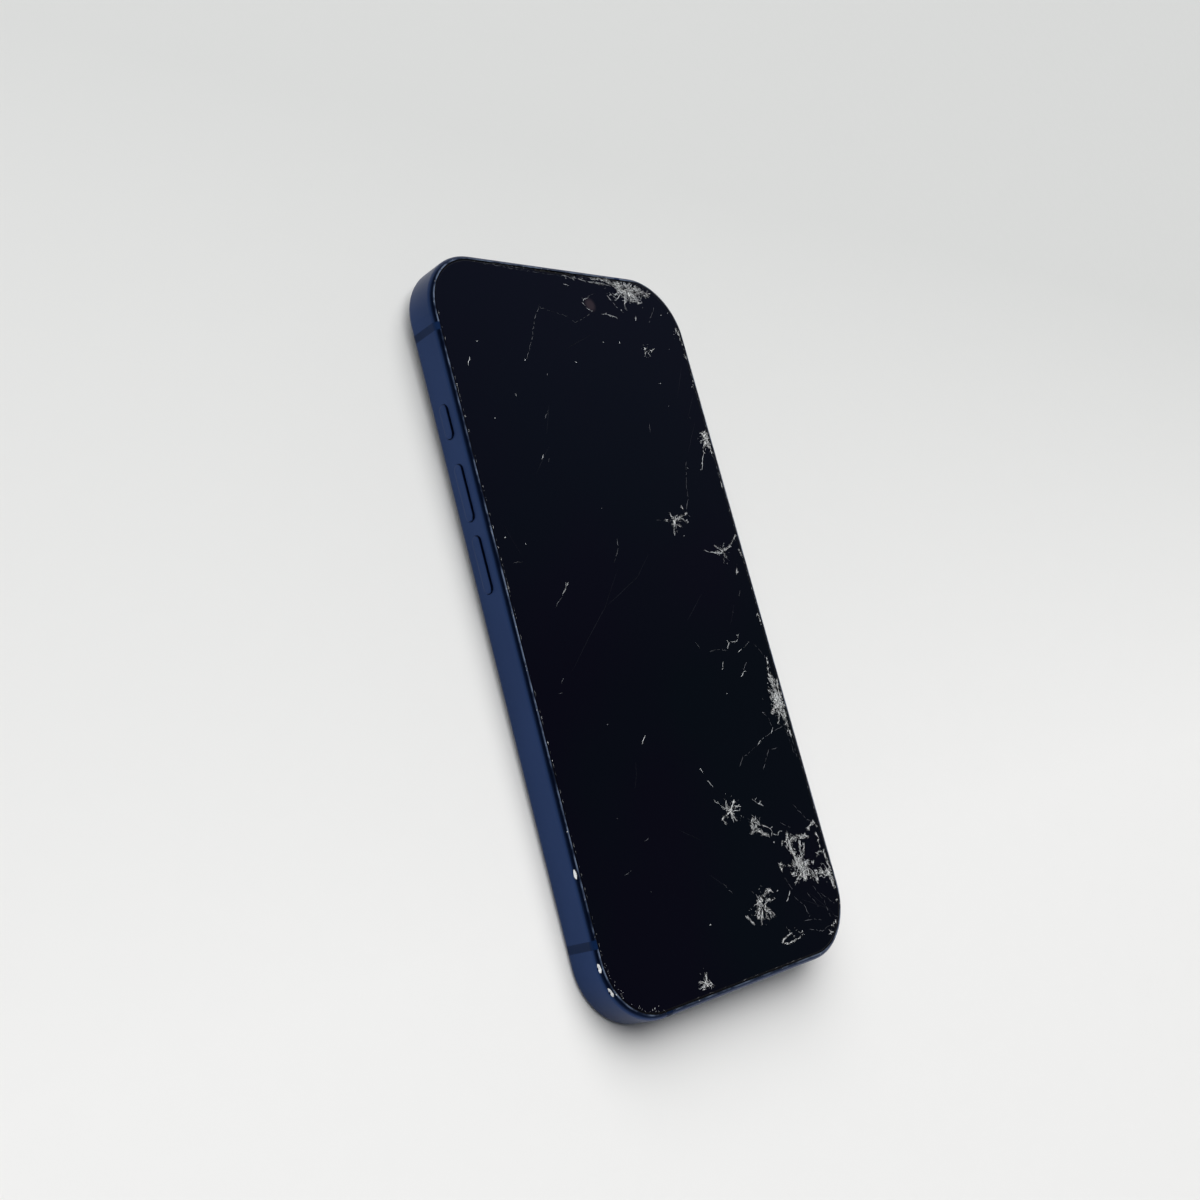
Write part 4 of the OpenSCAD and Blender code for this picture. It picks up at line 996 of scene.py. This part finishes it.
# %% Shape a slab with rounded corners and a rounded edge
def rounded_slab(low, high, corner, edge_round):
    """A slab with round corners, seen from the front, and a rounded front edge."""
    slab = bmesh.new()
    size, middle = high - low, (low + high) / 2
    bmesh.ops.create_grid(slab, x_segments=1, y_segments=1, size=1)
    bmesh.ops.scale(slab, vec=(size.x / 2, size.y / 2, 1), verts=slab.verts)
    bmesh.ops.bevel(slab, geom=slab.verts[:], offset=corner, segments=24, profile=0.5,
                    affect="VERTICES", material=-1)
    thicken(slab, size.z)
    bmesh.ops.recalc_face_normals(slab, faces=slab.faces)
    rim = [e for e in slab.edges if all(v.co.z > size.z / 2 for v in e.verts)]
    bmesh.ops.bevel(slab, geom=rim, offset=edge_round, segments=8, profile=0.5,
                    affect="EDGES", material=-1)
    bmesh.ops.translate(slab, vec=(middle.x, middle.y, low.z), verts=slab.verts)
    return slab


def diced(slab, low, high, cell):
    """Cuts a slab's faces into cells of about one size, so that no face is large or has many holes."""
    for axis in (0, 1):
        across = Vector((axis == 0, axis == 1, 0))
        count = round((high - low)[axis] / cell)
        for k in range(1, count):
            place = low.lerp(high, k / count)
            bmesh.ops.bisect_plane(slab, geom=slab.verts[:] + slab.edges[:] + slab.faces[:],
                                   plane_co=place, plane_no=across)
    return slab


# %% Make the slab
def add_piece(name, shape, finishes_used):
    """Makes an object of a bmesh, at the origin, that rides on the phone."""
    mesh = mesh_of(name, shape)
    for finish in finishes_used:
        mesh.materials.append(finish.material)
    made = bpy.data.objects.new(name, mesh)
    scene.collection.objects.link(made)
    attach(made, "phone")
    return made


glass_round = 0.3 * mm
glass_corner = band_corner - (half_w - glass_high.x)
slab = rounded_slab(glass_low, glass_high, glass_corner, glass_round)
slab = diced(slab, glass_low, glass_high, cell=2 * mm)
glass = add_piece("shattered_glass", slab, kinds.values())
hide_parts("cover_glass")
print("slab", [round(side / mm, 2) for side in glass.dimensions], "mm,", len(glass.data.polygons), "faces")

# %% [markdown]
# ## Cutting the cracks
#
# Each set of wedges becomes one mesh and is subtracted. The Manifold solver is made for closed
# meshes, which these are, and it is by far the fastest. It keeps each wedge's own material on the
# faces that the wedge leaves behind, so the grooves come out pale in the black glass. The lines are
# in millimetres on the screen, and one matrix brings them to metres in the phone's frame.


# %% Subtract the wedges, one set at a time
def subtract(target, cutter_mesh):
    """Cuts a mesh out of an object, for good."""
    cutter = bpy.data.objects.new("cutter", cutter_mesh)
    scene.collection.objects.link(cutter)
    for finish in kinds.values():
        cutter_mesh.materials.append(finish.material)
    boolean = target.modifiers.new("cut", "BOOLEAN")
    boolean.operation = "DIFFERENCE"
    boolean.solver = "MANIFOLD"
    boolean.object = cutter
    applied = target.evaluated_get(bpy.context.evaluated_depsgraph_get())
    result = bpy.data.meshes.new_from_object(applied)
    target.modifiers.remove(boolean)
    target.data = result
    bpy.data.objects.remove(cutter)


onto_screen = Matrix.Translation((0, 0, front)) @ Matrix.Scale(mm, 4)
for members in sets:
    cutters = bmesh.new()
    for _, cut in members:
        cutters.from_mesh(wedge(*cut))
    cutters_mesh = mesh_of("cutters", cutters)
    cutters_mesh.transform(onto_screen)
    subtract(glass, cutters_mesh)
print("cut glass has", len(glass.data.polygons), "faces and", len(glass.data.materials), "materials")

# %% [markdown]
# ## The earpiece slot
#
# Sound leaves the phone through a thin slot at the top of the glass, with a mesh in it. The slot is
# a box a little larger than the mesh and taller than the glass, subtracted in the same way.

# %% Cut the earpiece slot
slot_low, slot_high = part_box("earpiece_mesh")
size = slot_high - slot_low + Vector((0.1, 0.1, 4)) * mm
middle = (slot_low + slot_high) / 2
slot = bmesh.new()
bmesh.ops.create_cube(slot, size=1)
bmesh.ops.scale(slot, vec=size, verts=slot.verts)
bmesh.ops.translate(slot, vec=middle, verts=slot.verts)
subtract(glass, mesh_of("slot", slot))
print("slot", round((slot_high - slot_low).x / mm, 1), "mm long")

# %% [markdown]
# ## Cleaning the cut glass
#
# Where grooves cross, a cut can leave a chip that hangs on nothing, even one without any thickness.
# A walk from corner to corner along the edges finds what is joined to the slab, and the rest goes.
# Then only the polished curve of the front edge is shaded smooth: flat faces don't need it, and a
# fracture's faces are meant to glint one by one.


# %% Drop loose chips, and shade the edge smooth
def drop_loose(target):
    """Deletes all that isn't joined to the lowest corner of an object's mesh."""
    shape = bmesh.new()
    shape.from_mesh(target.data)
    joined, waiting = set(), [min(shape.verts, key=lambda v: v.co.z)]
    while waiting:
        v = waiting.pop()
        if v not in joined:
            joined.add(v)
            waiting.extend(e.other_vert(v) for e in v.link_edges)
    loose = [v for v in shape.verts if v not in joined]
    bmesh.ops.delete(shape, geom=loose, context="VERTS")
    shape.to_mesh(target.data)
    shape.free()
    return len(loose)


print("loose corners dropped:", drop_loose(glass))
for face in glass.data.polygons:
    face.use_smooth = face.material_index == 0 and 0.02 < face.normal.z < 0.998

# %% [markdown]
# ## Slivers
#
# Glass under a hit is crushed into needles and flakes that stay in place on the film below. They
# lie in streaks that run away from the hit, at all tilts, and each catches the light by itself. One
# needle is a ball with four sides and two rings, an octahedron, stretched long and flat. Thousands
# of them are copied from that one mesh, dense along the middle of a streak and fewer beside it.

# %% One sliver
needle = bmesh.new()
bmesh.ops.create_uvsphere(needle, u_segments=4, v_segments=2, radius=0.5)
needle_mesh = mesh_of("needle", needle)


def needle_at(place, angle, length, width, thick, tilt, roll, depth):
    """One sliver's mesh: stretched, turned and set at a depth below the screen's surface."""
    made = needle_mesh.copy()
    made.transform(
        Matrix.Translation((place.x, place.y, -depth))
        @ Matrix.Rotation(angle, 4, "Z") @ Matrix.Rotation(tilt, 4, "Y") @ Matrix.Rotation(roll, 4, "X")
        @ Matrix.Diagonal((length, width, thick, 1))
    )
    return made


def on_screen(place, inset):
    """True if a point lies on the screen, at least so far inside its rounded outline."""
    corner = glass_corner / mm
    beyond = Vector((
        abs(place.x) - glass_high.x / mm + corner,
        abs(place.y) - glass_high.y / mm + corner,
    ))
    if min(beyond) < 0:
        return max(beyond) < corner - inset
    return beyond.length < corner - inset


# %% Lay slivers alone and in streaks
def lay_sliver(pile, place, angle, length, width, chances=(0.38, 0.11, 0.51)):
    """Adds one sliver to a pile, in painted shade or painted light: black, grey or white by the chances
    given.
    """
    if not on_screen(place, inset=0.1):
        return
    sliver = needle_at(place, angle, length, width, thick=0.06, tilt=chance.gauss(0, 0.05),
                       roll=chance.gauss(0, 0.5), depth=chance.uniform(-0.02, 0.03))
    # painted shade or painted light: the sliver gets the black, grey or white copy at random
    shade = chance.choices(range(len(crushed)), chances)[0]
    for face in sliver.polygons:
        face.material_index = shade
    pile.from_mesh(sliver)


def lay_streak(pile, start, end, width, count):
    """Slivers along a line, mostly in its direction, and fewer and closer to it at its far end."""
    start, end = Vector(start), Vector(end)
    along = (end - start).normalized()
    side = Vector((-along.y, along.x))
    for _ in range(count):
        t = chance.random() ** 1.3
        place = start.lerp(end, t) + side * chance.gauss(0, width * (1 - 0.5 * t))
        angle = math.atan2(along.y, along.x) + chance.gauss(0, 0.6)
        lay_sliver(pile, place, angle, chance.uniform(0.35, 1.5), chance.uniform(0.045, 0.15))


def add_slivers(name, pile):
    """Makes a piece of a pile, and says how many faces it has."""
    bmesh.ops.transform(pile, matrix=onto_screen, verts=pile.verts)
    return len(add_piece(name, pile, crushed).data.polygons)


# %% Slivers at every hit: its streaks, and some strays around them
strays = 9  # to each millimetre of a hit's reach
faces = 0
for number, (middle, reach, _, streaks) in enumerate(hits, 1):
    pile = bmesh.new()
    for streak in streaks:
        lay_streak(pile, *streak)
    for _ in range(round(strays * reach)):
        heading = turned(Vector((1, 0)), chance.uniform(0, 360))
        place = Vector(middle) + heading * reach * chance.uniform(0.3, 1.4)
        lay_sliver(pile, place, math.atan2(heading.y, heading.x) + chance.gauss(0, 0.4),
                   chance.uniform(0.2, 0.8), chance.uniform(0.03, 0.07), (0, 0.6, 0.4))
    faces += add_slivers(f"crushed_glass_{number:02d}", pile)
print("slivers laid,", faces, "faces")

# %% [markdown]
# ## Worn edges of the glass, and their painted highlight
#
# The glass's edge takes small knocks all its life: brighter specks sit here and there on the left
# side, and a dusting follows the lower left corner, where the band was hit too. Thin flakes along
# all four sides are a painted highlight, a pale line where the polished edge would catch the light.
# They are the same slivers, laid along the edge and mostly grey.

# %% Wear the edges, and paint a highlight along them
left_edge = -36.9
# one pile for the real specks and dust, and for the painted highlight along the edges
dust_and_highlights = bmesh.new()
# painted highlight: pale flakes along each side of the glass
for start, end, count in edge_highlight_lines:
    along = (Vector(end) - Vector(start)).normalized()
    for _ in range(count):
        place = Vector(start).lerp(Vector(end), chance.random())
        lay_sliver(dust_and_highlights, place, math.atan2(along.y, along.x) + chance.gauss(0, 0.1),
                   chance.uniform(0.2, 1.0), chance.uniform(0.02, 0.05), (0.3, 0.6, 0.1))
for y in edge_specks:
    for _ in range(2):
        lay_sliver(dust_and_highlights, Vector((left_edge, y + chance.gauss(0, 0.15))), chance.uniform(0, 3),
                   chance.uniform(0.25, 0.45), 0.09, (0, 0, 1))
middle = Vector((glass_corner - glass_high.x, glass_corner - glass_high.y)) / mm
for _ in range(50):
    heading = turned(Vector((1, 0)), chance.uniform(180, 270))
    place = middle + heading * (glass_corner / mm - abs(chance.gauss(0.15, 0.5)))
    lay_sliver(dust_and_highlights, place, chance.uniform(0, 3), chance.uniform(0.15, 0.5), 0.06, (0, 0.8, 0.2))
faces = add_slivers("edge_wear_and_highlights", dust_and_highlights)
print("edge wear,", faces, "faces")
